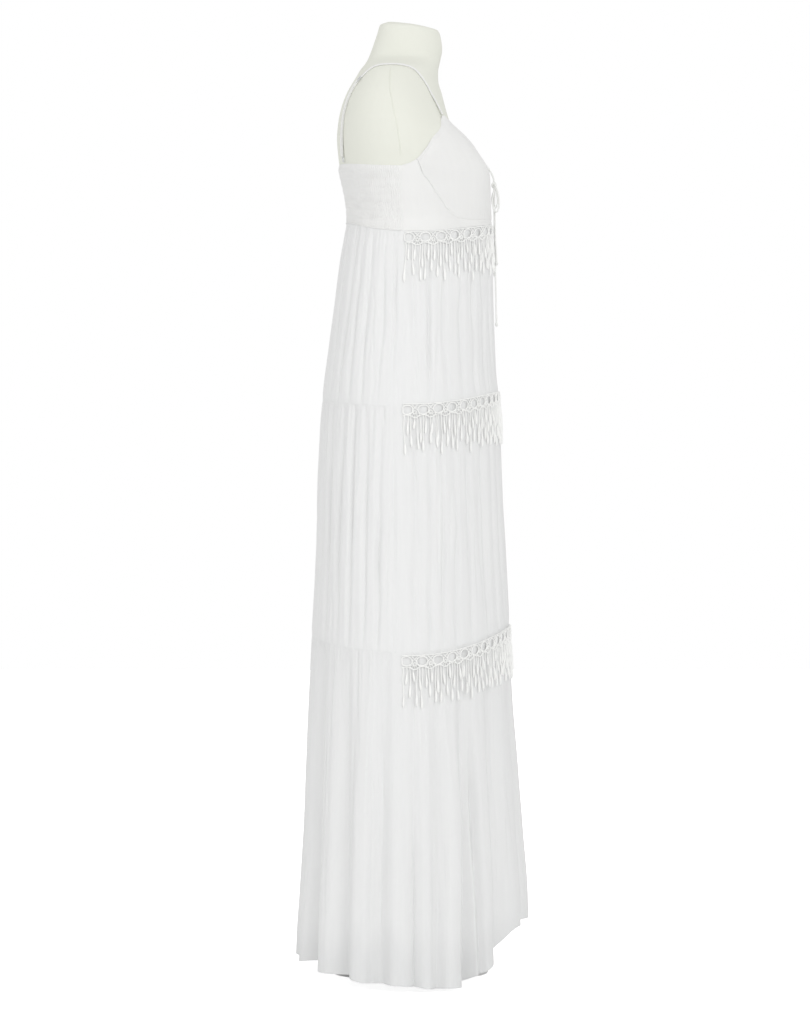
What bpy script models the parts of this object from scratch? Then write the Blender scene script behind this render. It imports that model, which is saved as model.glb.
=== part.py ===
"""A tiered maxi dress with fringed trims, worn by a limbless dress form on its stand.

Metres, +Z up. The front faces -Y and the wearer's left is +X. The origin is on the floor, under the pole.
An angle round the body is in degrees: 0 is the centre front, 90 the wearer's left side, 180 the centre back.
"""

import bisect
import math
import random
from collections import namedtuple

import bmesh
import bpy
from mathutils import Vector
from mathutils.bvhtree import BVHTree

# Walls and clearances
SKIRT_WALL = 0.0016
BODICE_WALL = 0.0020
EASE = 0.0031  # from the form to the outside of the bodice, at the back and sides
FRONT_EASE = 0.0074
SEAM_GAP = 0.0003
TRIM_GAP = 0.0005  # from the cloth to the back of a trim
BACK_SQUARENESS = 0.86  # below 1 flattens the back of every ring

# Bust of the form, and the cloth that bridges it
BUST_ANGLE = 32.0
BUST_SPREAD = 20.0
BUST_BRIDGE = 0.50  # share of the bust's depth that the cloth leaves out
BUST_BRIDGE_LIFT = 0.28  # share of the bust's depth that the cloth's centre front is forward of the form's

# Side seams and skirt folds
SIDE_SEAM = 94.0
FOLD_FLANK = 0.42  # share of its depth that a fold has half way down its side

# Fringed trims
TRIM_WALL = 0.0015
TRIM_ROWS = (-0.0115, -0.0055, 0.0055, 0.0105)  # heights of the band's rows from its middle
TRIM_REPEAT = (0.0127, 0.0127)  # the open eye, the closed rosette
TASSEL_LENGTHS = (0.060, 0.045)
TASSEL_SHAPE = ((0.10, 0.0020, 0.0015), (0.80, 0.0046, 0.0036), (1.0, 0.0014, 0.0012))  # down, width, depth

# Shirred back panel
SHIRR_COLUMNS = 36
SHIRR_ROWS = 8
SHIRR_RELIEF = 0.0013

# Straps
STRAP_WIDTH = 0.0050
STRAP_STEPS = 27
STRAP_WALL = 0.0012
STRAP_LIFT = 0.0007  # from the shoulder to the strap
STRAP_FRONT_LIFT = 0.0046  # where the strap meets the cup
STRAP_END_LIFT = 0.0019  # where the strap meets the back panel
RING_HEIGHT = 1.2930
RING_RADIUS = 0.0038
RING_WIRE = 0.0007
SLIDER_ANGLE = 142.0

# Tie at the centre front
CORD = 0.0028
KNOT_SIZE = Vector((0.0130, 0.0070, 0.0085))
KNOT_HEIGHT = 1.2585
KNOT_STAND_OFF = 7.5  # millimetres from the cloth to the knot's middle
END_KNOT = ((0.0072, 1.0), (0.0058, 1.65), (0.0030, 1.75), (0.0010, 1.3))  # from a tail's end, share of its radius

# Stand
BASE_RADIUS = 0.125
BASE_SIDES = 28
BASE_THICKNESS = 0.010
BASE_BEVEL = 0.003
POLE_RADIUS = 0.0125
POLE_FILLET = 0.006
FORM_RING_POINTS = 28
NECK_SLANT = 0.005
NECK_SLANT_FROM = 1.475

Section = namedtuple("Section", "height half_width front back ridge bust")

# The form, from its flat underside to the top of the neck
FORM_TABLE = [
    Section(0.770, 0.1560, 0.0960, 0.1100, 0.000, 0.000),
    Section(0.780, 0.1660, 0.1010, 0.1165, 0.000, 0.000),
    Section(0.850, 0.1710, 0.1050, 0.1200, 0.000, 0.000),
    Section(0.930, 0.1520, 0.0980, 0.1050, 0.000, 0.000),
    Section(0.990, 0.1340, 0.0900, 0.0900, 0.000, 0.000),
    Section(1.050, 0.1225, 0.0860, 0.0830, 0.000, 0.000),
    Section(1.120, 0.1270, 0.0890, 0.0870, 0.000, 0.004),
    Section(1.190, 0.1400, 0.0980, 0.0945, 0.000, 0.024),
    Section(1.235, 0.1500, 0.1065, 0.1010, 0.000, 0.041),
    Section(1.252, 0.1540, 0.1068, 0.1050, 0.001, 0.047),
    Section(1.270, 0.1580, 0.1058, 0.1090, 0.002, 0.048),
    Section(1.283, 0.1605, 0.1030, 0.1120, 0.003, 0.045),
    Section(1.307, 0.1660, 0.0920, 0.1150, 0.006, 0.034),
    Section(1.331, 0.1680, 0.0796, 0.1168, 0.010, 0.020),
    Section(1.355, 0.1660, 0.0646, 0.1150, 0.016, 0.008),
    Section(1.379, 0.1580, 0.0573, 0.1102, 0.022, 0.003),
    Section(1.403, 0.1450, 0.0512, 0.1013, 0.027, 0.000),
    Section(1.427, 0.1250, 0.0450, 0.0875, 0.028, 0.000),
    Section(1.440, 0.1080, 0.0450, 0.0800, 0.027, 0.000),
    Section(1.451, 0.0780, 0.0470, 0.0720, 0.018, 0.000),
    Section(1.460, 0.0600, 0.0490, 0.0670, 0.010, 0.000),
    Section(1.475, 0.0530, 0.0515, 0.0610, 0.005, 0.000),
    Section(1.4985, 0.0480, 0.0490, 0.0520, 0.001, 0.000),
    Section(1.5095, 0.0440, 0.0450, 0.0480, 0.001, 0.000),
    Section(1.5135, 0.0330, 0.0340, 0.0370, 0.001, 0.000),
]

# The outside of the cloth below the bust, from the hem up
SKIRT_TABLE = [
    Section(0.000, 0.2990, 0.1915, 0.1835, 0.000, 0.000),
    Section(0.070, 0.2940, 0.1900, 0.1815, 0.000, 0.000),
    Section(0.130, 0.2890, 0.1890, 0.1780, 0.000, 0.000),
    Section(0.230, 0.2800, 0.1820, 0.1720, 0.000, 0.000),
    Section(0.330, 0.2700, 0.1745, 0.1680, 0.000, 0.000),
    Section(0.430, 0.2590, 0.1655, 0.1635, 0.000, 0.000),
    Section(0.510, 0.2500, 0.1610, 0.1590, 0.000, 0.000),
    Section(0.565, 0.2440, 0.1590, 0.1565, 0.000, 0.000),
    Section(0.630, 0.2370, 0.1560, 0.1535, 0.000, 0.000),
    Section(0.710, 0.2280, 0.1520, 0.1505, 0.000, 0.000),
    Section(0.790, 0.2190, 0.1480, 0.1485, 0.000, 0.000),
    Section(0.870, 0.2090, 0.1450, 0.1445, 0.000, 0.000),
    Section(0.915, 0.2030, 0.1430, 0.1405, 0.000, 0.000),
    Section(0.952, 0.1970, 0.1390, 0.1370, 0.000, 0.000),
    Section(1.008, 0.1860, 0.1365, 0.1295, 0.000, 0.000),
    Section(1.080, 0.1700, 0.1345, 0.1200, 0.000, 0.001),
    Section(1.140, 0.1550, 0.1330, 0.1125, 0.000, 0.003),
    Section(1.180, 0.1470, 0.1315, 0.1050, 0.000, 0.006),
    Section(1.196, 0.1460, 0.1310, 0.1020, 0.000, 0.010),
    Section(1.212, 0.1485, 0.1302, 0.1022, 0.000, 0.015),
    Section(1.235, 0.1540, 0.1285, 0.1047, 0.001, 0.020),
]

Seam = namedtuple("Seam", "side front back sharpness")
WAIST = Seam(1.176, 1.194, 1.196, 2)
HIP = Seam(0.900, 0.924, 0.914, 2)
KNEE = Seam(0.520, 0.560, 0.539, 2)
HEM = Seam(0.006, 0.088, 0.030, 3)

# The hem, which is not level: angle from the centre front, height
HEM_TABLE = [(0, 0.0880), (27, 0.0850), (40, 0.0500), (51, 0.0270), (61, 0.0070), (76, 0.0055), (93, 0.0110)]
HEM_TABLE += [(110, 0.0140), (124, 0.0220), (137, 0.0230), (150, 0.0350), (163, 0.0290), (180, 0.0300)]

# Each row is a fold: the angle of its valley, round either side of the body, and its share of the tier's depth
TIER_1_FOLDS = [
    (6, 0.6), (18, 0.8), (31, 0.9), (42, 1.0), (53.6, 1.0), (65.8, 0.7), (76.9, 0.9), (87.5, 0.6),
    (99, 0.9), (108, 0.7), (120, 1.0), (131, 0.8), (142, 0.9), (154, 0.6), (165, 0.8), (175, 0.6),
]  # fmt: skip
TIER_2_FOLDS = [
    (7, 0.7), (18, 0.6), (28, 0.9), (38.4, 1.0), (51.8, 1.1), (61.7, 0.9), (70.5, 0.6), (78.3, 0.8), (87.5, 0.5),
    (97.5, 0.6), (106, 0.9), (114.5, 0.6), (124.6, 1.0), (134.8, 0.9), (146.4, 1.0), (158, 0.7), (171, 0.8),
]  # fmt: skip
TIER_3_FOLDS = [
    (11, 0.7), (39.5, 0.8), (61, 1.3), (86.0, 0.45), (103, 0.85), (124.7, 0.75), (150, 1.2), (172, 0.7),
]  # fmt: skip
TIER_ROWS = (0.0, 0.32, 0.64, 0.90, 1.0)  # share of the way from a tier's bottom to its top

Tier = namedtuple("Tier", "name top bottom folds points top_depth middle_depth bottom_depth seed")
TIERS = [
    Tier("tier_1", WAIST, HIP, TIER_1_FOLDS, 3, 0.0014, 0.0062, 0.0022, 3),
    Tier("tier_2", HIP, KNEE, TIER_2_FOLDS, 3, 0.0014, 0.0085, 0.0030, 5),
    Tier("tier_3", KNEE, HEM, TIER_3_FOLDS, 4, 0.0020, 0.0130, 0.0230, 8),
]

# Edges of the cups and the panels: angle from the centre front, height
NECKLINE = [(0, 1.2900), (12, 1.3100), (24, 1.3350), (33, 1.3540), (37.4, 1.3600)]
ARMHOLE = [(39.6, 1.3600), (50, 1.3410), (65, 1.3210), (75, 1.3020), (85, 1.2850), (SIDE_SEAM, 1.2770)]
UNDER_CUP = [(0, 1.2010), (30, 1.1985), (42, 1.1965), (52, 1.1970), (60, 1.2035), (69, 1.2290), (79, 1.2600)]
UNDER_CUP += [(SIDE_SEAM, 1.2750)]
CUP_SIDE = 84.0
CUP_COLUMNS = (0.06, 8, 16, 24, 31, 37.4, 39.6, 46, 54, 62, 70, 77, CUP_SIDE)
CUP_ROWS = 6
BACK_TOP_SIDE = 1.2770
BACK_TOP_CENTRE = 1.2880


def smooth_curve(places, values):
    """A function through the points that never swings past them."""
    gaps = [b - a for a, b in zip(places, places[1:])]
    rates = [(b - a) / gap for a, b, gap in zip(values, values[1:], gaps)]
    slopes = [rates[0]]
    for left, right in zip(rates, rates[1:]):
        slopes.append(0.0 if left * right <= 0 else 2 * left * right / (left + right))
    slopes.append(rates[-1])

    def value(place):
        place = min(max(place, places[0]), places[-1])
        i = min(bisect.bisect_right(places, place) - 1, len(gaps) - 1)
        t = (place - places[i]) / gaps[i]
        start, end = values[i], values[i + 1]
        lift, fall = slopes[i] * gaps[i], slopes[i + 1] * gaps[i]
        return (
            start * (1 + 2 * t) * (1 - t) ** 2
            + end * t * t * (3 - 2 * t)
            + lift * t * (1 - t) ** 2
            - fall * t * t * (1 - t)
        )

    return value


def smooth_table(rows):
    """A function from a height to the section there."""
    heights = [row.height for row in rows]
    curves = [smooth_curve(heights, [row[i] for row in rows]) for i in range(1, len(Section._fields))]
    return lambda height: Section(height, *(curve(height) for curve in curves))


def cloth_row(row):
    """The outside of the bodice over a row of the form."""
    return Section(
        row.height,
        row.half_width + EASE,
        row.front + FRONT_EASE + BUST_BRIDGE_LIFT * row.bust,
        row.back + EASE,
        row.ridge,
        row.bust * (1 - BUST_BRIDGE),
    )


form_section = smooth_table(FORM_TABLE)
cloth_section = smooth_table(
    SKIRT_TABLE + [cloth_row(row) for row in FORM_TABLE if SKIRT_TABLE[-1].height < row.height < 1.44]
)


def bust_lobe(angle):
    """1 over the fullest part of either side of the bust, fading round the body."""
    near = math.exp(-(((abs(angle) - BUST_ANGLE) / BUST_SPREAD) ** 2) / 2)
    far = math.exp(-(((abs(angle) + BUST_ANGLE) / BUST_SPREAD) ** 2) / 2)
    return (near + far) / (1 + math.exp(-((2 * BUST_ANGLE / BUST_SPREAD) ** 2) / 2))


def ring_point(section, angle):
    """The point of a section's ring at an angle."""
    angle = (angle + 180) % 360 - 180
    across, along = math.sin(math.radians(angle)), math.cos(math.radians(angle))
    bust = section.bust * bust_lobe(angle)
    if along >= 0:
        depth = section.front + section.ridge - section.bust * bust_lobe(0)
        return Vector((section.half_width * across, section.ridge - depth * along - bust, section.height))
    x = section.half_width * math.copysign(abs(across) ** BACK_SQUARENESS, across)
    y = section.ridge + (section.back - section.ridge) * abs(along) ** BACK_SQUARENESS
    return Vector((x, y - bust, section.height))


def form_point(angle, height):
    point = ring_point(form_section(height), angle)
    slant = max(0.0, (height - NECK_SLANT_FROM) / (FORM_TABLE[-1].height - NECK_SLANT_FROM))
    return point - Vector((0, 0, NECK_SLANT * slant * math.cos(math.radians(angle))))


def cloth_point(angle, height):
    return ring_point(cloth_section(height), angle)


def outward(point_at, angle, height, step=0.5):
    """The level direction straight out of a surface."""
    along = point_at(angle + step, height) - point_at(angle - step, height)
    return Vector((along.y, -along.x, 0)).normalized()


def surface_normal(point_at, angle, height):
    """The direction straight out of a surface, with its slope."""
    across = point_at(angle + 0.5, height) - point_at(angle - 0.5, height)
    up = point_at(angle, height + 0.001) - point_at(angle, height - 0.001)
    return across.cross(up).normalized()


def seam_height(seam, angle):
    """The height of a seam, which rises from the side seams to the centres."""
    if seam is HEM:
        return edge_height(HEM_TABLE, (angle + 180) % 360 - 180)
    along = math.cos(math.radians(angle))
    middle = seam.front if along >= 0 else seam.back
    return seam.side + (middle - seam.side) * abs(along) ** seam.sharpness


def edge_height(table, angle):
    return smooth_curve([row[0] for row in table], [row[1] for row in table])(abs(angle))


# Materials
def finish(name, colour, roughness, metallic=0.0):
    material = bpy.data.materials.new(name)
    material.use_nodes = True
    shader = material.node_tree.nodes["Principled BSDF"]
    shader.inputs["Base Color"].default_value = (*colour, 1)
    shader.inputs["Roughness"].default_value = roughness
    shader.inputs["Metallic"].default_value = metallic
    return material


def add_mesh(name, bm, material):
    """Makes a smooth shaded object of a bmesh."""
    mesh = bpy.data.meshes.new(name)
    bm.to_mesh(mesh)
    bm.free()
    mesh.shade_smooth()
    mesh.set_sharp_from_angle(angle=math.radians(50))
    mesh.materials.append(material)
    piece = bpy.data.objects.new(name, mesh)
    bpy.context.scene.collection.objects.link(piece)
    return piece


def wall_mesh(outer, inner, open_cells=()):
    """A closed wall between two grids of points, rows from the bottom up, columns round the body."""
    bm = bmesh.new()
    rows, columns = len(outer), len(outer[0])
    front = [[bm.verts.new(point) for point in row] for row in outer]
    back = [[bm.verts.new(point) for point in row] for row in inner]
    cells = [(r, c) for r in range(rows - 1) for c in range(columns - 1) if (r, c) not in open_cells]
    edges = set()
    for r, c in cells:
        corners = [(r, c), (r, c + 1), (r + 1, c + 1), (r + 1, c)]
        edges.update(zip(corners, corners[1:] + corners[:1]))
        # Both sides of the wall are split along the same diagonal, so they stay parallel
        if (outer[r][c] - outer[r + 1][c + 1]).length > (outer[r][c + 1] - outer[r + 1][c]).length:
            corners = corners[1:] + corners[:1]
        for half in (corners[:3], corners[2:] + corners[:1]):
            bm.faces.new([front[a][b] for a, b in half])
            bm.faces.new([back[a][b] for a, b in reversed(half)])
    for (r, c), (r2, c2) in sorted(edges):
        if ((r2, c2), (r, c)) not in edges:
            bm.faces.new([front[r2][c2], front[r][c], back[r][c], back[r2][c2]])
    loose = [vert for vert in bm.verts if not vert.link_faces]
    bmesh.ops.delete(bm, geom=loose, context="VERTS")
    return bm


def moved_in(row, distance, first_out, last_out):
    """A row of points moved level into the folds' back side, with the directions out at its two ends given."""
    moved = [row[0] - distance * first_out]
    for before, point, after in zip(row, row[1:], row[2:]):
        along = after - before
        moved.append(point - distance * Vector((along.y, -along.x, 0)).normalized())
    return moved + [row[-1] - distance * last_out]


def add_bodice_wall(name, places, material):
    """A wall over a grid of places on the bodice, each an angle and a height."""
    outer = [[cloth_point(*place) for place in row] for row in places]
    inner = [[cloth_point(*place) - BODICE_WALL * outward(cloth_point, *place) for place in row] for row in places]
    return add_mesh(name, wall_mesh(outer, inner), material)


def shares(count):
    return [i / count for i in range(count + 1)]


# The dress form and its stand
def make_form(material):
    """The form is rings skinned from the flat underside to the domed top of the neck."""
    angles = [360 * i / FORM_RING_POINTS for i in range(FORM_RING_POINTS)]
    bm = bmesh.new()
    loops = []
    for row in FORM_TABLE:
        ring = [bm.verts.new(form_point(angle, row.height)) for angle in angles]
        loops.append([bm.edges.new((a, b)) for a, b in zip(ring, ring[1:] + ring[:1])])
    for lower, upper in zip(loops, loops[1:]):
        bmesh.ops.bridge_loops(bm, edges=lower + upper)
    bmesh.ops.contextual_create(bm, geom=loops[0])
    bmesh.ops.contextual_create(bm, geom=loops[-1])
    bmesh.ops.recalc_face_normals(bm, faces=bm.faces)
    return add_mesh("form_torso", bm, material)


def make_stand(material):
    """The round base and the pole, turned as one piece from its profile."""
    pole_top = FORM_TABLE[0].height - SEAM_GAP
    rim_turns = [math.radians(90 * step / 3) for step in range(4)]
    rim_radius, rim_height = BASE_RADIUS - BASE_BEVEL, BASE_THICKNESS - BASE_BEVEL
    profile = [(0, 0), (BASE_RADIUS, 0)]
    profile += [(rim_radius + BASE_BEVEL * math.cos(t), rim_height + BASE_BEVEL * math.sin(t)) for t in rim_turns]
    profile += [(POLE_RADIUS + POLE_FILLET, BASE_THICKNESS), (POLE_RADIUS, BASE_THICKNESS + POLE_FILLET)]
    profile += [(POLE_RADIUS, pole_top), (0, pole_top)]
    bm = bmesh.new()
    points = [bm.verts.new((x, 0, z)) for x, z in profile]
    edges = [bm.edges.new((a, b)) for a, b in zip(points, points[1:])]
    bmesh.ops.spin(
        bm, geom=points + edges, axis=(0, 0, 1), cent=(0, 0, 0), angle=2 * math.pi, steps=BASE_SIDES, use_merge=True
    )
    bmesh.ops.remove_doubles(bm, verts=bm.verts, dist=0.00001)
    bmesh.ops.recalc_face_normals(bm, faces=bm.faces)
    add_mesh("stand", bm, material)


# The bodice
def cup_top(angle):
    table = NECKLINE if abs(angle) <= NECKLINE[-1][0] else ARMHOLE
    return edge_height(table, angle)


def make_cup(name, side, material):
    """One cup, from the centre front to where the seam under it runs into the armhole. Side is 1 or -1."""
    angles = sorted(side * angle for angle in CUP_COLUMNS)
    rows = []
    for share in shares(CUP_ROWS):
        row = []
        for angle in angles:
            low = edge_height(UNDER_CUP, angle) + SEAM_GAP / 2
            row.append((angle, low + share * (cup_top(angle) - low)))
        rows.append(row)
    return add_bodice_wall(name, rows, material)


def make_front_panel(material):
    """The panel between the seam under the cups and the waist seam, in one piece across the front."""
    side_columns = [SIDE_SEAM - 0.15, 89, *reversed(CUP_COLUMNS)]
    angles = [-angle for angle in side_columns[:-1]] + [0] + list(reversed(side_columns[:-1]))
    rows = []
    for share in shares(3):
        row = []
        for angle in angles:
            low = seam_height(WAIST, angle) + SEAM_GAP / 2
            top = edge_height(UNDER_CUP, angle) - SEAM_GAP / 2
            if abs(angle) > CUP_SIDE:
                top = edge_height(ARMHOLE, angle)
            row.append((angle, low + share * (top - low)))
        rows.append(row)
    return add_bodice_wall("bodice_front_panel", rows, material)


def make_back_panel(material):
    """The shirred back: puckers between rows of elastic are raised in the outer points, over a plain inside."""
    start, end = SIDE_SEAM + 0.15, 360 - SIDE_SEAM - 0.15
    outer, plain = [], []
    for r, share in enumerate(shares(SHIRR_ROWS)):
        outer_row, plain_row = [], []
        for c, along in enumerate(shares(SHIRR_COLUMNS)):
            angle = start + along * (end - start)
            low = seam_height(WAIST, angle) + SEAM_GAP / 2
            rise = abs(math.cos(math.radians(angle))) ** 2
            top = BACK_TOP_SIDE + (BACK_TOP_CENTRE - BACK_TOP_SIDE) * rise
            height = low + share * (top - low)
            edge = r in (0, SHIRR_ROWS) or c in (0, SHIRR_COLUMNS)
            raised = not edge and (c + r // 2) % 2 == 0 and r % 2 == 1
            sunk = not edge and r % 2 == 0
            relief = SHIRR_RELIEF if raised else -SHIRR_RELIEF * 0.3 if sunk else 0.0
            direction = outward(cloth_point, angle, height)
            outer_row.append(cloth_point(angle, height) + direction * relief)
            plain_row.append(cloth_point(angle, height) - direction * BODICE_WALL)
        outer.append(outer_row)
        plain.append(plain_row)
    return add_mesh("bodice_back_shirred", wall_mesh(outer, plain), material)


# The skirt
Column = namedtuple("Column", "angle sink")


def fold_columns(tier, start, end):
    """Column angles from seam to seam: a crest, its flank and a valley for each fold, and crests at both seams."""
    chance = random.Random(tier.seed)
    left = [(angle + chance.uniform(-1.2, 1.2), depth * chance.uniform(0.8, 1.1)) for angle, depth in tier.folds]
    right = [(360 - angle, depth) for angle, depth in tier.folds]
    valleys = sorted((angle - 360 if angle > start + 360 else angle, depth) for angle, depth in left + right)
    valleys = [valley for valley in valleys if start + 1 < valley[0] < end - 1]
    crests = [start] + [(a[0] + b[0]) / 2 for a, b in zip(valleys, valleys[1:])] + [end]
    columns = []
    for crest, (valley, depth), after in zip(crests, valleys, crests[1:]):
        columns += [Column(crest, 0.0), Column((crest + valley) / 2, FOLD_FLANK * depth), Column(valley, depth)]
        if tier.points == 4:
            columns.append(Column((valley + after) / 2, FOLD_FLANK * depth))
    return columns + [Column(end, 0.0)]


def fold_depth(tier, share_down):
    return smooth_curve([0, 0.55, 1], [tier.top_depth, tier.middle_depth, tier.bottom_depth])(share_down)


def tier_heights(tier, angle):
    low = seam_height(tier.bottom, angle) + SEAM_GAP / 2
    top = seam_height(tier.top, angle) - SEAM_GAP / 2
    return [low + share * (top - low) for share in TIER_ROWS]


def crest_point(angle, height):
    """The point on the skirt's crests, which run straight between the rows of each tier."""
    tier = next((tier for tier in TIERS if height > seam_height(tier.bottom, angle)), TIERS[-1])
    heights = tier_heights(tier, angle)
    if height >= heights[-1]:
        return cloth_point(angle, height)
    i = min(max(bisect.bisect_right(heights, height) - 1, 0), len(heights) - 2)
    low, high = cloth_point(angle, heights[i]), cloth_point(angle, heights[i + 1])
    return low + (high - low) * (height - heights[i]) / (heights[i + 1] - heights[i])


def make_tier_panel(tier, name, start, end, material):
    """One panel of a tier, gathered at its top seam and falling in folds."""
    columns = fold_columns(tier, start, end)
    outer, inner = [], []
    for r, share in enumerate(TIER_ROWS):
        row, directions = [], []
        for column in columns:
            height = tier_heights(tier, column.angle)[r]
            direction = outward(cloth_point, column.angle, height)
            row.append(cloth_point(column.angle, height) - column.sink * fold_depth(tier, 1 - share) * direction)
            directions.append(direction)
        outer.append(row)
        inner.append(moved_in(row, SKIRT_WALL, directions[0], directions[-1]))
    return add_mesh(name, wall_mesh(outer, inner), material)


# The fringed trims
def even_angles(seam, widths):
    """The angle at each step of the given widths, along a seam from side to side, widths scaled to fit."""
    fine = [-SIDE_SEAM + 1 + i * (2 * SIDE_SEAM - 2) / 360 for i in range(361)]
    points = [cloth_point(angle, seam_height(seam, angle)) for angle in fine]
    run = [0.0]
    for a, b in zip(points, points[1:]):
        run.append(run[-1] + (b - a).length)
    back_to_angle = smooth_curve(run, fine)
    scale = run[-1] / sum(widths)
    places = [0.0]
    for width in widths:
        places.append(places[-1] + width * scale)
    return [back_to_angle(place) for place in places]


def seam_length(seam):
    points = [cloth_point(angle, seam_height(seam, angle)) for angle in range(-int(SIDE_SEAM), int(SIDE_SEAM) + 1)]
    return sum((b - a).length for a, b in zip(points, points[1:]))


def hang_tassel(bm, root, angle, root_height, length):
    """Extrudes a tassel from its root face: a thin thread, a full head and a pointed tip."""
    centre = root.calc_center_median()
    face = root
    for down, width, depth in TASSEL_SHAPE:
        height = root_height - down * length
        out = outward(cloth_point, angle, height)
        side = Vector((-out.y, out.x, 0))
        middle = crest_point(angle, height) + out * (2 * TRIM_GAP + depth / 2)
        face = bmesh.ops.extrude_discrete_faces(bm, faces=[face])["faces"][0]
        for vert in face.verts:
            from_middle = vert.co - centre
            vert.co = (
                middle
                + side * math.copysign(width / 2, from_middle.dot(side))
                + out * math.copysign(depth / 2, from_middle.dot(out))
            )
        centre = middle


def make_trim(name, seam, drop, material):
    """A crocheted band whose middle hangs under its seam, with an open eye in each repeat and even tassels."""
    repeats = round(seam_length(seam) / sum(TRIM_REPEAT))
    angles = even_angles(seam, TRIM_REPEAT * repeats)
    outer, inner = [], []
    for rise in TRIM_ROWS:
        heights = [seam_height(seam, angle) - drop + rise for angle in angles]
        outs = [outward(cloth_point, angle, height) for angle, height in zip(angles, heights)]
        points = [crest_point(angle, height) for angle, height in zip(angles, heights)]
        inner.append([point + out * TRIM_GAP for point, out in zip(points, outs)])
        outer.append([point + out * (TRIM_GAP + TRIM_WALL) for point, out in zip(points, outs)])
    columns = len(angles) - 1
    eyes = {(1, c) for c in range(0, columns, len(TRIM_REPEAT))}
    bm = wall_mesh(outer, inner, eyes)
    bm.faces.ensure_lookup_table()
    for c in range(columns):
        angle = (angles[c] + angles[c + 1]) / 2
        root_height = seam_height(seam, angle) - drop + TRIM_ROWS[0]
        target = (outer[0][c] + outer[0][c + 1] + inner[0][c] + inner[0][c + 1]) / 4
        root = min(bm.faces, key=lambda face: (face.calc_center_median() - target).length)
        hang_tassel(bm, root, angle, root_height, TASSEL_LENGTHS[c % len(TASSEL_LENGTHS)])
    print(name, repeats, "repeats,", columns, "tassels")
    return add_mesh(name, bm, material)


# The straps
def shoulder_height(half_width):
    """The height on the shoulder where the form is this wide."""
    low, high = 1.335, 1.460
    for _ in range(40):
        middle = (low + high) / 2
        low, high = (middle, high) if form_section(middle).half_width > half_width else (low, middle)
    return (low + high) / 2


strap_offset = smooth_curve([38.5, 90, 120, 150, 170], [0.1015, 0.1080, 0.1010, 0.0900, 0.0820])


def strap_stations():
    """Even stations, each an angle and a height, from the cup over the shoulder and down the back to the ring."""
    route = [(38.5, NECKLINE[-1][1] + 3 * SEAM_GAP)]
    for i in range(226):
        angle = 39 + i / 2
        squareness = 1.0 if angle <= 90 else BACK_SQUARENESS
        across = math.sin(math.radians(angle)) ** squareness
        route.append((angle, shoulder_height(strap_offset(angle) / across)))
    angle, height = route[-1]
    end = RING_HEIGHT + RING_RADIUS + RING_WIRE + SEAM_GAP
    for share in shares(12)[1:]:
        lower = height + share * (end - height)
        across = strap_offset(angle + 20 * share) / form_section(lower).half_width
        route.append((180 - math.degrees(math.asin(across ** (1 / BACK_SQUARENESS))), lower))
    places = [form_point(*station) for station in route]
    run = [0.0]
    for a, b in zip(places, places[1:]):
        run.append(run[-1] + (b - a).length)
    angle_at = smooth_curve(run, [station[0] for station in route])
    height_at = smooth_curve(run, [station[1] for station in route])
    print("strap length", round(run[-1], 4))
    return [(angle_at(share * run[-1]), height_at(share * run[-1])) for share in shares(STRAP_STEPS)]


def facet_lift(form, point, normal, across):
    """How far the form's facets stand out from its true surface under a band."""
    lifts = [0.0]
    for offset in (-across, Vector((0, 0, 0)), across):
        start = point + offset + normal * 0.02
        hit = form.ray_cast(start, -normal)[0]
        if hit:
            lifts.append(0.02 - (hit - start).length)
    return max(lifts)


def band_along(form, stations, lift_at, side, width, thickness, name, material):
    """A flat band that follows the form's surface, its back face lifted clear of it."""
    places = [form_point(*station) for station in stations]
    outer, inner = [], []
    for i, (place, station) in enumerate(zip(places, stations)):
        normal = surface_normal(form_point, *station)
        along = (places[min(i + 1, len(places) - 1)] - places[max(i - 1, 0)]).normalized()
        across = along.cross(normal).normalized() * (width / 2)
        point = place + normal * (lift_at(i / (len(places) - 1)) + facet_lift(form, place, normal, across))
        inner.append([point - across, point + across])
        outer.append([point - across + normal * thickness, point + across + normal * thickness])
    bm = wall_mesh(outer, inner)
    if side < 0:
        bmesh.ops.scale(bm, verts=bm.verts, vec=(-1, 1, 1))
    bmesh.ops.recalc_face_normals(bm, faces=bm.faces)
    return add_mesh(name, bm, material)


def local_axes(angle, height):
    normal = surface_normal(form_point, angle, height)
    down = (form_point(angle, height - 0.001) - form_point(angle, height + 0.001)).normalized()
    return form_point(angle, height), normal, down, down.cross(normal).normalized()


def make_ring(name, side, angle, height, lift, material):
    """A small wire ring that lies on the back and joins the strap to the panel."""
    middle, normal, down, across = local_axes(angle, height)
    middle = middle + normal * (lift + RING_WIRE)
    bm = bmesh.new()
    sides, turns = 5, 10
    rings = []
    for i in range(turns):
        turn = 2 * math.pi * i / turns
        radial = across * math.cos(turn) + down * math.sin(turn)
        ring = []
        for j in range(sides):
            tilt = 2 * math.pi * j / sides
            wire = radial * math.cos(tilt) + normal * math.sin(tilt)
            ring.append(bm.verts.new(middle + radial * RING_RADIUS + wire * RING_WIRE))
        rings.append([bm.edges.new((a, b)) for a, b in zip(ring, ring[1:] + ring[:1])])
    for first, second in zip(rings, rings[1:] + rings[:1]):
        bmesh.ops.bridge_loops(bm, edges=first + second)
    if side < 0:
        bmesh.ops.scale(bm, verts=bm.verts, vec=(-1, 1, 1))
    bmesh.ops.recalc_face_normals(bm, faces=bm.faces)
    return add_mesh(name, bm, material)


SLIDER_ACROSS = (-0.0045, -0.0032, 0.0032, 0.0045)
SLIDER_ALONG = (-0.0040, -0.0028, -0.0006, 0.0006, 0.0028, 0.0040)
SLIDER_WALL = 0.0011


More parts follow.
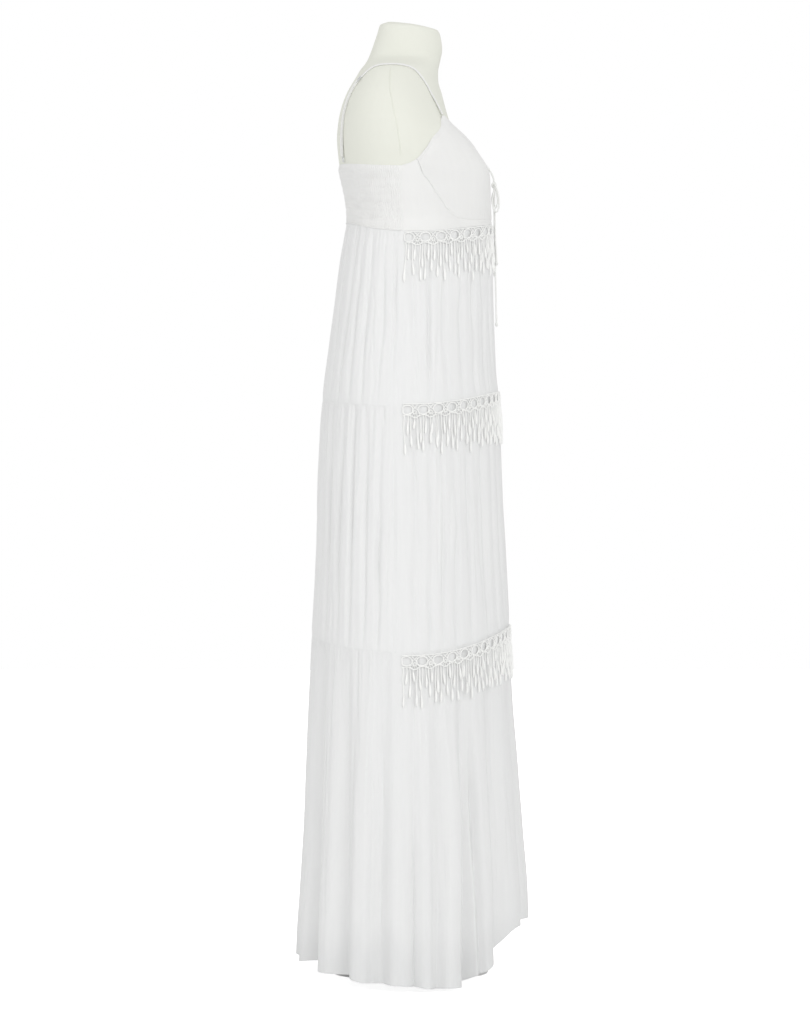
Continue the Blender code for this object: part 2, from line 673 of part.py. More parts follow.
def make_slider(name, side, angle, height, lift, material):
    """A three bar slider that lies over the strap."""
    middle, normal, down, across = local_axes(angle, height)
    middle = middle + normal * lift
    inner = [[middle + down * d + across * a for a in SLIDER_ACROSS] for d in SLIDER_ALONG]
    outer = [[point + normal * SLIDER_WALL for point in row] for row in inner]
    bm = wall_mesh(outer, inner, {(1, 1), (3, 1)})
    if side < 0:
        bmesh.ops.scale(bm, verts=bm.verts, vec=(-1, 1, 1))
    bmesh.ops.recalc_face_normals(bm, faces=bm.faces)
    return add_mesh(name, bm, material)


def make_strap(form, label, side, cloth, metal):
    """The strap, its returning end, the slider and the ring at the top of the back panel."""
    stations = strap_stations()
    count = len(stations) - 1
    slider_at = min(range(count), key=lambda i: abs(stations[i][0] - SLIDER_ANGLE))
    lift = smooth_curve([0, 0.16, 0.88, 1], [STRAP_FRONT_LIFT, STRAP_LIFT, STRAP_LIFT, STRAP_END_LIFT])
    band_along(form, stations, lift, side, STRAP_WIDTH, STRAP_WALL, f"strap_{label}", cloth)

    def return_lift(share):
        return lift((slider_at + 1 + share * (count - slider_at - 1)) / count) + STRAP_WALL + SEAM_GAP

    doubled = stations[slider_at + 1 :]
    band_along(form, doubled, return_lift, side, STRAP_WIDTH, STRAP_WALL, f"strap_return_{label}", cloth)
    slider_lift = lift(slider_at / count) + STRAP_WALL + 2 * SEAM_GAP
    make_slider(f"strap_slider_{label}", side, *stations[slider_at - 1], slider_lift, metal)
    make_ring(f"strap_ring_{label}", side, stations[-1][0], RING_HEIGHT, STRAP_END_LIFT, metal)


# The tie
def smooth_route(points, spacing):
    """Points at even steps along a smooth curve through a route's own points."""
    padded = [2 * points[0] - points[1], *points, 2 * points[-1] - points[-2]]
    fine = []
    for before, start, end, after in zip(padded, padded[1:], padded[2:], padded[3:]):
        for t in shares(24)[:-1]:
            fine.append(
                0.5
                * (
                    2 * start
                    + (end - before) * t
                    + (2 * before - 5 * start + 4 * end - after) * t**2
                    + (3 * start - before - 3 * end + after) * t**3
                )
            )
    fine.append(points[-1])
    run = [0.0]
    for a, b in zip(fine, fine[1:]):
        run.append(run[-1] + (b - a).length)
    steps = max(3, round(run[-1] / spacing))
    route = []
    for share in shares(steps):
        i = min(bisect.bisect_left(run, share * run[-1]), len(fine) - 1)
        route.append(fine[i])
    return route, run[-1]


def make_cord(name, points, material, end_knot=()):
    """A cord that lies along a smooth route through the points, with closed ends."""
    route, length = smooth_route(points, 3 * CORD)
    radii = [1.0] * len(route)
    end, last = route[-1], (route[-2] - route[-1]).normalized()
    for back, radius in end_knot:
        route.insert(-1, end + last * back)
        radii.insert(-1, radius)
    curve = bpy.data.curves.new(name, "CURVE")
    curve.dimensions = "3D"
    curve.bevel_depth = CORD / 2
    curve.bevel_resolution = 2
    curve.use_fill_caps = True
    spline = curve.splines.new("POLY")
    spline.points.add(len(route) - 1)
    for point, place, radius in zip(spline.points, route, radii):
        point.co = (*place, 1)
        point.radius = radius
    curve.materials.append(material)
    piece = bpy.data.objects.new(name, curve)
    bpy.context.scene.collection.objects.link(piece)
    print(name, "length", round(length, 4), "points", len(route))
    return piece


def off_cloth(across, lift, height):
    """The place this far off the front of the cloth, in millimetres across and off, metres up."""
    angle = math.degrees(math.asin(across / 1000 / cloth_section(height).half_width))
    return crest_point(angle, height) - Vector((0, lift / 1000, 0))


# Across towards the side, off the cloth, up from the knot's middle, in millimetres
LEAD_ROUTE = [(2.6, 2.4, 31), (2.7, 4.2, 24), (2.6, 6.6, 13), (2.5, 7.6, 4.8)]
RIGHT_LOOP = [
    (8.1, 7.5, 0.9), (10.2, 8.2, 0.4), (11.6, 10.6, -5), (12.0, 12.6, -14), (11.6, 13.4, -24), (11.0, 13.0, -34),
    (10.4, 10.4, -41.5), (10.0, 6.4, -43.8), (9.6, 3.6, -38), (9.0, 2.9, -28), (7.4, 4.2, -18), (5.5, 6.8, -11),
    (4.9, 7.5, -4.8),
]  # fmt: skip
LEFT_LOOP = [
    (8.1, 7.5, 0.9), (10.2, 8.0, 0.2), (11.2, 9.8, -4), (11.4, 11.4, -12), (11.0, 12.0, -20), (10.4, 11.4, -28.5),
    (9.8, 9.0, -34.5), (9.4, 5.8, -36), (9.0, 3.5, -31), (8.4, 3.0, -23), (7.0, 4.4, -15.5), (5.4, 6.9, -10),
    (4.9, 7.5, -4.8),
]  # fmt: skip
SHORT_TAIL = [
    (1.7, 7.5, -4.8), (1.8, 7.4, -13), (1.9, 6.4, -26), (1.9, 5.6, -40), (1.9, 5.2, -54), (1.8, 4.8, -68),
    (1.7, 4.8, -88), (1.5, 5.2, -106), (1.35, 5.6, -128.5),
]  # fmt: skip
LONG_TAIL = [
    (1.7, 7.5, -4.8), (1.8, 7.2, -13), (1.9, 6.0, -26), (1.9, 5.2, -40), (2.0, 4.6, -54), (2.0, 4.2, -68),
    (2.2, 4.1, -88), (2.35, 3.5, -104), (2.4, 3.4, -128), (3.0, 3.2, -160), (3.2, 3.1, -195), (3.6, 3.1, -226.5),
]  # fmt: skip


def placed(route, side):
    return [off_cloth(side * across, lift, KNOT_HEIGHT + up / 1000) for across, lift, up in route]


def make_tie(material):
    """The tie: two leads from the neckline, the knot, two loops and two tails that end in small knots."""
    bm = bmesh.new()
    bmesh.ops.create_cube(bm, size=1)
    bmesh.ops.scale(bm, verts=bm.verts, vec=KNOT_SIZE)
    bmesh.ops.bevel(bm, geom=bm.edges[:], offset=0.0014, segments=1, profile=0.5, affect="EDGES", material=-1)
    bmesh.ops.translate(bm, verts=bm.verts, vec=off_cloth(0, KNOT_STAND_OFF, KNOT_HEIGHT))
    add_mesh("tie_knot", bm, material)
    for label, side, loop, tail in (("right", -1, RIGHT_LOOP, SHORT_TAIL), ("left", 1, LEFT_LOOP, LONG_TAIL)):
        make_cord(f"tie_lead_{label}", placed(LEAD_ROUTE, side), material)
        make_cord(f"tie_loop_{label}", placed(loop, side), material)
        make_cord(f"tie_tail_{label}", placed(tail, side), material, END_KNOT)


def main():
    for old in list(bpy.data.objects):
        bpy.data.objects.remove(old)
    cotton = finish("cotton", (0.90, 0.90, 0.89), 0.85)
    crochet = finish("crochet", (0.91, 0.91, 0.88), 0.80)
    cord = finish("cord", (0.88, 0.89, 0.86), 0.75)
    jersey = finish("jersey", (0.84, 0.84, 0.76), 0.80)
    metal = finish("metal", (0.75, 0.76, 0.77), 0.30, 1.0)
    steel = finish("painted_steel", (0.80, 0.80, 0.79), 0.45, 0.3)
    form = make_form(jersey)
    make_stand(steel)
    make_cup("cup_right", -1, cotton)
    make_cup("cup_left", 1, cotton)
    make_front_panel(cotton)
    make_back_panel(cotton)
    for tier in TIERS:
        seam = SIDE_SEAM - 0.06
        make_tier_panel(tier, f"{tier.name}_front", -seam, seam, cotton)
        make_tier_panel(tier, f"{tier.name}_back", SIDE_SEAM + 0.06, 360 - SIDE_SEAM - 0.06, cotton)
    make_trim("fringe_trim_waist", WAIST, 0.0115, crochet)
    make_trim("fringe_trim_hip", HIP, 0.0065, crochet)
    make_trim("fringe_trim_knee", KNEE, 0.0150, crochet)
    surface = BVHTree.FromObject(form, bpy.context.evaluated_depsgraph_get())
    make_strap(surface, "right", -1, cotton, metal)
    make_strap(surface, "left", 1, cotton, metal)
    make_tie(cord)


main()
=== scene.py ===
# %% [markdown]
# # A tiered maxi dress on its dress form
#
# A white cotton dress with soft cups, thin straps, a tie, three gathered tiers and three crocheted trims with
# tassels. It hangs on a limbless dress form. Everything is in metres: the front faces -Y, the wearer's left
# is +X, and the origin is on the floor under the pole. Angles round the body are in degrees, 0 at the centre
# front, 90 at the wearer's left side and 180 at the centre back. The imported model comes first, because each
# piece of this scene takes the place of one of its plain solids.

import math
import random
from collections import namedtuple

import bmesh
import bpy
import numpy as np
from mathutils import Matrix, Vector


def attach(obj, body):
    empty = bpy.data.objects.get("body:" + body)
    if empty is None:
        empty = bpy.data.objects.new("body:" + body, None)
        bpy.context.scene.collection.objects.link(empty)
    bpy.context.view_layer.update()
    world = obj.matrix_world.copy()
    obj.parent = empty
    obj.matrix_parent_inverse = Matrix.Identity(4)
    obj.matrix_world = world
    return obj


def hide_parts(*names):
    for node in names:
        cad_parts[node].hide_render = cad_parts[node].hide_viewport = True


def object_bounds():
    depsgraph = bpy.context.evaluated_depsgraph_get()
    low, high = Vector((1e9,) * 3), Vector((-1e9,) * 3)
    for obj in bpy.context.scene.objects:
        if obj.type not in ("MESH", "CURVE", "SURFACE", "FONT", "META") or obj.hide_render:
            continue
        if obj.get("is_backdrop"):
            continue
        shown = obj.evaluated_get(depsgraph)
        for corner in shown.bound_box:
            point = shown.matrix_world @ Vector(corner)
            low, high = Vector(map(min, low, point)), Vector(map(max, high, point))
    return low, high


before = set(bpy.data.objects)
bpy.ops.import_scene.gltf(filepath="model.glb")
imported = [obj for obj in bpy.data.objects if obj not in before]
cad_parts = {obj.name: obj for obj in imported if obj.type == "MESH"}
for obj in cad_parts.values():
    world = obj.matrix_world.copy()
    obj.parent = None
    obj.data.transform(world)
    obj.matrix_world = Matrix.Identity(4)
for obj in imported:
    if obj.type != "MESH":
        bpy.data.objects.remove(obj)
plain_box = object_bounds()
print("solids in the packed model:", len(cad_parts))

# %% [markdown]
# ## The camera
#
# The photograph was taken from the wearer's right, level with the middle of the dress and from far away, so
# its perspective is weak. A long lens six and a half metres off gives the same. The frame of the photograph
# is 810 by 1013 pixels, and one pixel is 1.6 mm at the middle of the dress, which sets the lens.

# %% The camera
PHOTO_SIZE = (810, 1013)
PIXEL = 0.0016
CAMERA_DISTANCE = 6.5
CAMERA_PLACE = (-CAMERA_DISTANCE, 0.008, 0.7444)
SENSOR = 36.0


def add_object(name, data):
    """An object for this data, in the scene."""
    made = bpy.data.objects.new(name, data)
    bpy.context.scene.collection.objects.link(made)
    return made


camera_data = bpy.data.cameras.new("studio_camera")
camera_data.sensor_width = SENSOR
camera_data.lens = SENSOR * CAMERA_DISTANCE / (max(PHOTO_SIZE) * PIXEL)
camera = add_object("studio_camera", camera_data)
camera.location = CAMERA_PLACE
camera.rotation_euler = (math.radians(90), 0, math.radians(-90))
bpy.context.scene.camera = camera
print("lens:", round(camera_data.lens, 1), "mm")

# %% [markdown]
# ## The shape of the body and of the cloth
#
# A dress form is a stack of rounded rings. Each row of a table is one ring: its height, its half width, how
# far it reaches to the front and to the back, how far back its widest place is, and how much of its front
# depth is bust. A curve that never swings past its points joins the rows. The same tables made the plain
# solids, so the fine pieces below lie exactly where those are.

# %% Tables of the form and of the skirt
Section = namedtuple("Section", "height half_width front back ridge bust", defaults=(0.0, 0.0))
BACK_SQUARENESS = 0.86  # below 1 flattens the back of every ring
EASE, FRONT_EASE = 0.0031, 0.0074  # from the form to the outside of the bodice
BUST_ANGLE, BUST_SPREAD = 32.0, 20.0
BUST_BRIDGE, BUST_BRIDGE_LIFT = 0.50, 0.28  # how much of the bust's shape the cloth leaves out
NECK_SLANT, NECK_SLANT_FROM = 0.005, 1.475

FORM_TABLE = [Section(*row) for row in (
    (0.770, 0.1560, 0.0960, 0.1100),
    (0.780, 0.1660, 0.1010, 0.1165),
    (0.850, 0.1710, 0.1050, 0.1200),
    (0.930, 0.1520, 0.0980, 0.1050),
    (0.990, 0.1340, 0.0900, 0.0900),
    (1.050, 0.1225, 0.0860, 0.0830),
    (1.120, 0.1270, 0.0890, 0.0870, 0.000, 0.004),
    (1.190, 0.1400, 0.0980, 0.0945, 0.000, 0.024),
    (1.235, 0.1500, 0.1065, 0.1010, 0.000, 0.041),
    (1.252, 0.1540, 0.1068, 0.1050, 0.001, 0.047),
    (1.270, 0.1580, 0.1058, 0.1090, 0.002, 0.048),
    (1.283, 0.1605, 0.1030, 0.1120, 0.003, 0.045),
    (1.307, 0.1660, 0.0920, 0.1150, 0.006, 0.034),
    (1.331, 0.1680, 0.0796, 0.1168, 0.010, 0.020),
    (1.355, 0.1660, 0.0646, 0.1150, 0.016, 0.008),
    (1.379, 0.1580, 0.0573, 0.1102, 0.022, 0.003),
    (1.403, 0.1450, 0.0512, 0.1013, 0.027, 0.000),
    (1.427, 0.1250, 0.0450, 0.0875, 0.028, 0.000),
    (1.440, 0.1080, 0.0450, 0.0800, 0.027, 0.000),
    (1.451, 0.0780, 0.0470, 0.0720, 0.018, 0.000),
    (1.460, 0.0600, 0.0490, 0.0670, 0.010, 0.000),
    (1.475, 0.0530, 0.0515, 0.0610, 0.005, 0.000),
    (1.4985, 0.0480, 0.0490, 0.0520, 0.001, 0.000),
    (1.5095, 0.0440, 0.0450, 0.0480, 0.001, 0.000),
    (1.5135, 0.0330, 0.0340, 0.0370, 0.001, 0.000),
)]
SKIRT_TABLE = [Section(*row) for row in (
    (0.000, 0.2990, 0.1915, 0.1835),
    (0.070, 0.2940, 0.1900, 0.1815),
    (0.130, 0.2890, 0.1890, 0.1780),
    (0.230, 0.2800, 0.1820, 0.1720),
    (0.330, 0.2700, 0.1745, 0.1680),
    (0.430, 0.2590, 0.1655, 0.1635),
    (0.510, 0.2500, 0.1610, 0.1590),
    (0.565, 0.2440, 0.1590, 0.1565),
    (0.630, 0.2370, 0.1560, 0.1535),
    (0.710, 0.2280, 0.1520, 0.1505),
    (0.790, 0.2190, 0.1480, 0.1485),
    (0.870, 0.2090, 0.1450, 0.1445),
    (0.915, 0.2030, 0.1430, 0.1405),
    (0.952, 0.1970, 0.1390, 0.1370),
    (1.008, 0.1860, 0.1365, 0.1295),
    (1.080, 0.1700, 0.1345, 0.1200, 0.000, 0.001),
    (1.140, 0.1550, 0.1330, 0.1125, 0.000, 0.003),
    (1.180, 0.1470, 0.1315, 0.1050, 0.000, 0.006),
    (1.196, 0.1460, 0.1310, 0.1020, 0.000, 0.010),
    (1.212, 0.1485, 0.1302, 0.1022, 0.000, 0.015),
    (1.235, 0.1540, 0.1285, 0.1047, 0.001, 0.020),
)]

print("rows:", len(FORM_TABLE), "for the form,", len(SKIRT_TABLE), "for the skirt")

# %% [markdown]
# A smooth curve through each column of the tables gives the ring at any height. The cloth of the bodice
# follows the form a few millimetres off it, with less of the bust's shape. What comes out of these functions
# are points on the form and on the cloth, and directions out of them.

# %% Points on the form and on the cloth
def smooth_curve(places, values):
    """A function, for numbers or arrays, through the points that never swings past them."""
    places, values = np.array(places, float), np.array(values, float)
    gaps = np.diff(places)
    rates = np.diff(values) / gaps
    product, total = rates[:-1] * rates[1:], rates[:-1] + rates[1:]
    inner = np.where(product > 0, 2 * product / np.where(total == 0, 1, total), 0)
    slopes = np.concatenate([rates[:1], inner, rates[-1:]])

    def value(place):
        place = np.clip(place, places[0], places[-1])
        i = np.clip(np.searchsorted(places, place, side="right") - 1, 0, len(gaps) - 1)
        t = (place - places[i]) / gaps[i]
        rise = values[i] * (1 + 2 * t) * (1 - t) ** 2 + values[i + 1] * t * t * (3 - 2 * t)
        return rise + gaps[i] * (slopes[i] * t * (1 - t) ** 2 - slopes[i + 1] * t * t * (1 - t))

    return value


def smooth_table(rows):
    """A function from heights to the sections there."""
    heights = [row.height for row in rows]
    curves = [smooth_curve(heights, [row[i] for row in rows]) for i in range(1, len(Section._fields))]
    return lambda height: [curve(height) for curve in curves]


def cloth_row(row):
    """The outside of the bodice over a row of the form."""
    front = row.front + FRONT_EASE + BUST_BRIDGE_LIFT * row.bust
    bust = row.bust * (1 - BUST_BRIDGE)
    return Section(row.height, row.half_width + EASE, front, row.back + EASE, row.ridge, bust)


form_section = smooth_table(FORM_TABLE)
cloth_section = smooth_table(
    SKIRT_TABLE + [cloth_row(row) for row in FORM_TABLE if SKIRT_TABLE[-1].height < row.height < 1.44]
)


def fading(distance, reach):
    """1 at no distance, fading to almost nothing at twice the reach."""
    return np.exp(-((distance / reach) ** 2))


def bust_lobe(angle):
    """1 over the fullest part of either side of the bust, fading round the body."""
    near = np.exp(-(((np.abs(angle) - BUST_ANGLE) / BUST_SPREAD) ** 2) / 2)
    far = np.exp(-(((np.abs(angle) + BUST_ANGLE) / BUST_SPREAD) ** 2) / 2)
    return (near + far) / (1 + math.exp(-((2 * BUST_ANGLE / BUST_SPREAD) ** 2) / 2))


def ring_point(section_at, angle, height):
    """The points, one a row, at these angles and heights."""
    angle, height = np.broadcast_arrays(np.asarray(angle, float), np.asarray(height, float))
    half_width, front, back, ridge, bust = section_at(height)
    angle = (angle + 180) % 360 - 180
    across, along = np.sin(np.radians(angle)), np.cos(np.radians(angle))
    fullness = bust * bust_lobe(angle)
    front_y = ridge - (front + ridge - bust * bust_lobe(0)) * along - fullness
    back_x = half_width * np.sign(across) * np.abs(across) ** BACK_SQUARENESS
    back_y = ridge + (back - ridge) * np.abs(along) ** BACK_SQUARENESS - fullness
    x = np.where(along >= 0, half_width * across, back_x)
    return np.stack([x, np.where(along >= 0, front_y, back_y), height], -1)


def form_point(angle, height):
    point = ring_point(form_section, angle, height)
    slant = np.clip((height - NECK_SLANT_FROM) / (FORM_TABLE[-1].height - NECK_SLANT_FROM), 0, None)
    point[..., 2] -= NECK_SLANT * slant * np.cos(np.radians(angle))
    return point


def cloth_point(angle, height):
    return ring_point(cloth_section, angle, height)


def unit(directions):
    return directions / np.linalg.norm(directions, axis=-1, keepdims=True)


def distances(points):
    """How far along a line each of its points is."""
    return np.concatenate([[0], np.cumsum(np.linalg.norm(np.diff(points, axis=0), axis=1))])


def outward(point_at, angle, height):
    """The level directions straight out of a surface."""
    along = point_at(angle + 0.5, height) - point_at(angle - 0.5, height)
    return unit(np.stack([along[..., 1], -along[..., 0], 0 * along[..., 0]], -1))


def surface_normal(point_at, angle, height):
    """The directions straight out of a surface, with its slope."""
    across = point_at(angle + 0.5, height) - point_at(angle - 0.5, height)
    up = point_at(angle, height + 0.001) - point_at(angle, height - 0.001)
    return unit(np.cross(across, up))


def pressed_in(angle, height, depth):
    """Points of the cloth, each moved this far in towards the body."""
    return cloth_point(angle, height) - np.asarray(depth)[..., None] * outward(cloth_point, angle, height)


print("waist of the form:", np.round(form_section(1.05)[:3], 3))

# %% [markdown]
# ## The seams
#
# The dress is sewn from level seams that rise a little towards the front, and from cups whose edges are
# curves. The hem isn't level: it is caught up at the front and dips at the side. All of them are heights for
# an angle round the body.

# %% Seams and edges
Seam = namedtuple("Seam", "side front back sharpness")
WAIST = Seam(1.176, 1.194, 1.196, 2)
HIP = Seam(0.900, 0.924, 0.914, 2)
KNEE = Seam(0.520, 0.560, 0.539, 2)
HEM = [(0, 0.0880), (27, 0.0850), (40, 0.0500), (51, 0.0270), (61, 0.0070), (76, 0.0055), (93, 0.0110)]
HEM += [(110, 0.0140), (124, 0.0220), (137, 0.0230), (150, 0.0350), (163, 0.0290), (180, 0.0300)]
NECKLINE = [(0, 1.2900), (12, 1.3100), (24, 1.3350), (33, 1.3540), (37.4, 1.3600)]
SIDE_SEAM = 94.0
ARMHOLE = [(39.6, 1.3600), (50, 1.3410), (65, 1.3210), (75, 1.3020), (85, 1.2850), (SIDE_SEAM, 1.2770)]
UNDER_CUP = [(0, 1.2010), (30, 1.1985), (42, 1.1965), (52, 1.1970), (60, 1.2035), (69, 1.2290), (79, 1.2600)]
UNDER_CUP += [(SIDE_SEAM, 1.2750)]
CUP_SIDE = 84.0
BACK_TOP_SIDE, BACK_TOP_CENTRE = 1.2770, 1.2880
SEAM_GAP = 0.0001


def edge_height(table, angle):
    return smooth_curve([row[0] for row in table], [row[1] for row in table])(np.abs(angle))


def seam_height(seam, angle):
    """The height of a seam, which rises from the side seams to the centres, or of the hem."""
    if seam is HEM:
        return edge_height(HEM, (angle + 180) % 360 - 180)
    along = np.cos(np.radians(angle))
    middle = np.where(along >= 0, seam.front, seam.back)
    return seam.side + (middle - seam.side) * np.abs(along) ** seam.sharpness


def cup_top(angle):
    neckline, armhole = edge_height(NECKLINE, angle), edge_height(ARMHOLE, angle)
    return np.where(np.abs(angle) <= NECKLINE[-1][0], neckline, armhole)


def run_along(seam, start, end, steps=400):
    """Angles along a seam and how far along the cloth each of them is."""
    angles = np.linspace(start, end, steps + 1)
    return angles, distances(cloth_point(angles, seam_height(seam, angles)))


for label, seam in (("waist", WAIST), ("hip", HIP), ("knee", KNEE), ("hem", HEM)):
    print(label, "once round:", round(run_along(seam, -180, 180)[1][-1], 3), "m")

# %% [markdown]
# ## Shared parts of the finishes
#
# The real cloth is a light crinkled cotton. Two effects are shared by all its pieces, so each is a node
# group: the fine upright crinkles, and the weave. Both work on UV coordinates in metres, so that they follow
# the cloth, and both put out a height for a bump.

# %% Node groups for crinkle and weave
PLAIN = "NodeSocketFloat"


def new_group(name, inputs, outputs):
    """A shader node group with named sockets, and its two end nodes."""
    group = bpy.data.node_groups.new(name, "ShaderNodeTree")
    for label, kind, value in inputs:
        socket = group.interface.new_socket(label, in_out="INPUT", socket_type=kind)
        if value is not None:
            socket.default_value = value
    for label, kind in outputs:
        group.interface.new_socket(label, in_out="OUTPUT", socket_type=kind)
    return group, group.nodes.new("NodeGroupInput"), group.nodes.new("NodeGroupOutput")


def maths(tree, operation, first, second=None):
    """A Math node whose inputs are sockets or numbers."""
    node = tree.nodes.new("ShaderNodeMath")
    node.operation = operation
    for socket, value in zip(node.inputs, (first, second)):
        if isinstance(value, bpy.types.NodeSocket):
            tree.links.new(value, socket)
        elif value is not None:
            socket.default_value = value
    return node.outputs[0]


def noise(tree, vector, scale, detail=2.0):
    """Noise on coordinates stretched by the scale of each axis."""
    mapping = tree.nodes.new("ShaderNodeMapping")
    mapping.inputs["Scale"].default_value = scale
    texture = tree.nodes.new("ShaderNodeTexNoise")
    texture.inputs["Scale"].default_value = 1.0
    texture.inputs["Detail"].default_value = detail
    tree.links.new(vector, mapping.inputs["Vector"])
    tree.links.new(mapping.outputs["Vector"], texture.inputs["Vector"])
    return texture.outputs["Fac"]


crinkle, start, end = new_group(
    "crinkle",
    [("Vector", "NodeSocketVector", None), ("Depth", PLAIN, 1.0)],
    [("Height", PLAIN), ("Tone", PLAIN)],
)
fine = noise(crinkle, start.outputs["Vector"], (420, 26, 1), 3)
broad = noise(crinkle, start.outputs["Vector"], (110, 9, 1), 2)
height = maths(crinkle, "ADD", maths(crinkle, "MULTIPLY", fine, 0.45), maths(crinkle, "MULTIPLY", broad, 0.9))
crinkle.links.new(maths(crinkle, "MULTIPLY", height, start.outputs["Depth"]), end.inputs["Height"])
crinkle.links.new(broad, end.inputs["Tone"])

THREAD = 0.00055
weave, start, end = new_group("weave", [("Vector", "NodeSocketVector", None)], [("Height", PLAIN)])
axes = weave.nodes.new("ShaderNodeSeparateXYZ")
weave.links.new(start.outputs["Vector"], axes.inputs[0])
waves = [maths(weave, "SINE", maths(weave, "MULTIPLY", axes.outputs[i], math.pi / THREAD)) for i in range(2)]
weave.links.new(maths(weave, "MULTIPLY", *waves), end.inputs["Height"])
print("groups:", [group.name for group in bpy.data.node_groups])

# %% [markdown]
# ## The finishes
#
# Cotton reflects more than eight tenths of the light and has no gloss. A band along the hem is painted a
# little greyer, as painted shade: an attribute on the cloth says where. The crochet yarn is softer and warmer,
# the form is covered with ivory jersey, and the strap fittings are plated metal.

# %% Finishes
def new_material(name, colour, roughness, metallic=0.0):
    material = bpy.data.materials.new(name)
    material.use_nodes = True
    shader = material.node_tree.nodes["Principled BSDF"]
    shader.inputs["Base Color"].default_value = (*colour, 1)
    shader.inputs["Roughness"].default_value = roughness
    shader.inputs["Metallic"].default_value = metallic
    return material, material.node_tree, shader


def mixed(tree, share, first, second):
    """A mix of two colours, each a socket or three numbers."""
    node = tree.nodes.new("ShaderNodeMix")
    node.data_type = "RGBA"
    tree.links.new(share, node.inputs["Factor"])
    for socket, value in zip((node.inputs[6], node.inputs[7]), (first, second)):
        if isinstance(value, bpy.types.NodeSocket):
            tree.links.new(value, socket)
        else:
            socket.default_value = (*value, 1)
    return node.outputs[2]


def add_bump(tree, shader, height, distance, strength):
    bump = tree.nodes.new("ShaderNodeBump")
    bump.inputs["Distance"].default_value = distance
    bump.inputs["Strength"].default_value = strength
    tree.links.new(height, bump.inputs["Height"])
    tree.links.new(bump.outputs["Normal"], shader.inputs["Normal"])


def placed_group(tree, group, vector):
    node = tree.nodes.new("ShaderNodeGroup")
    node.node_tree = group
    tree.links.new(vector, node.inputs["Vector"])
    return node


def cotton_finish(name, light, dark, depth):
    """Crinkled cotton between a light and a slightly darker tone."""
    material, tree, shader = new_material(name, light, 0.92)
    uv = tree.nodes.new("ShaderNodeUVMap").outputs["UV"]
    folds, threads = placed_group(tree, crinkle, uv), placed_group(tree, weave, uv)
    folds.inputs["Depth"].default_value = depth
    # Painted shade: an attribute marks a band along the hem, where the colour is mixed towards a darker grey
    hem_shade_node = tree.nodes.new("ShaderNodeAttribute")
    hem_shade_node.attribute_name = "hem_shade"
    tone = mixed(tree, folds.outputs["Tone"], dark, light)
    grey = tuple(channel * 0.96 for channel in dark)
    tree.links.new(mixed(tree, hem_shade_node.outputs["Fac"], tone, grey), shader.inputs["Base Color"])
    fine = maths(tree, "MULTIPLY", threads.outputs["Height"], 0.05)
    height = maths(tree, "ADD", folds.outputs["Height"], fine)
    add_bump(tree, shader, height, 0.0016, 0.55)
    return material


COTTON_WHITE, COTTON_SHADE = (0.845, 0.847, 0.842), (0.805, 0.810, 0.808)
cotton = cotton_finish("cotton", COTTON_WHITE, COTTON_SHADE, 1.0)
smooth_cotton = cotton_finish("smooth_cotton", (0.855, 0.855, 0.843), (0.828, 0.828, 0.815), 0.35)


def object_noise_finish(name, colour, shade, roughness, scale, distance, metallic=0.0):
    """A finish whose fine relief and tone come from noise in the object's own space."""
    material, tree, shader = new_material(name, colour, roughness, metallic)
    place = tree.nodes.new("ShaderNodeTexCoord").outputs["Object"]
    grain = noise(tree, place, (scale,) * 3, 3)
    tree.links.new(mixed(tree, grain, shade, colour), shader.inputs["Base Color"])
    add_bump(tree, shader, grain, distance, 0.6)
    return material


YARN_WHITE, YARN_SHADE = (0.988, 0.990, 0.975), (0.950, 0.953, 0.936)
crochet = object_noise_finish("crochet_yarn", YARN_WHITE, YARN_SHADE, 0.85, 1400, 0.0006)
cord = object_noise_finish("braided_cord", (0.94, 0.945, 0.925), (0.86, 0.865, 0.845), 0.8, 900, 0.0005)
jersey = object_noise_finish("ivory_jersey", (0.814, 0.822, 0.750), (0.785, 0.795, 0.717), 0.9, 1600, 0.0002)
metal = object_noise_finish("plated_metal", (0.78, 0.79, 0.80), (0.70, 0.71, 0.72), 0.28, 700, 0.00003, 1.0)
steel = object_noise_finish("painted_steel", (0.80, 0.80, 0.79), (0.77, 0.77, 0.76), 0.45, 260, 0.00008)
print("finishes:", [material.name for material in bpy.data.materials])

# %% [markdown]
# ## The tie
#
# Two cords come out of the centre front of the neckline, are tied in a bow, and hang down as two loops and
# two tails of unequal length, each with a small end knot. They are real cords, so they are curves with a
# round section on the same routes as the solids: each point of a route is millimetres across, off the cloth,
# and up from the knot's middle. They come before the cloth, and each cord prints its length.

# %% Cords of the tie
CORD, CORD_STEP = 0.0028, 0.0030  # diameter, and distance between the points of a curve
KNOT_HEIGHT, KNOT_STAND_OFF = 1.2585, 7.5
LEAD_ROUTE = [(2.6, 2.2, 31.9), (2.7, 4.2, 24), (2.6, 6.6, 13), (2.5, 7.6, 4.8)]
RIGHT_LOOP = [
    (8.1, 7.5, 0.9), (10.2, 8.2, 0.4), (11.6, 10.6, -5), (12.0, 12.6, -14), (11.6, 13.4, -24), (11.0, 13.0, -34),
    (10.4, 10.4, -41.5), (10.0, 6.4, -43.8), (9.6, 3.6, -38), (9.0, 2.9, -28), (7.4, 4.2, -18), (5.5, 6.8, -11),
    (4.9, 7.5, -4.8),
]  # fmt: skip
LEFT_LOOP = [
    (8.1, 7.5, 0.9), (10.2, 8.0, 0.2), (11.2, 9.8, -4), (11.4, 11.4, -12), (11.0, 12.0, -20), (10.4, 11.4, -28.5),
    (9.8, 9.0, -34.5), (9.4, 5.8, -36), (9.0, 3.5, -31), (8.4, 3.0, -23), (7.0, 4.4, -15.5), (5.4, 6.9, -10),
    (4.9, 7.5, -4.8),
]  # fmt: skip
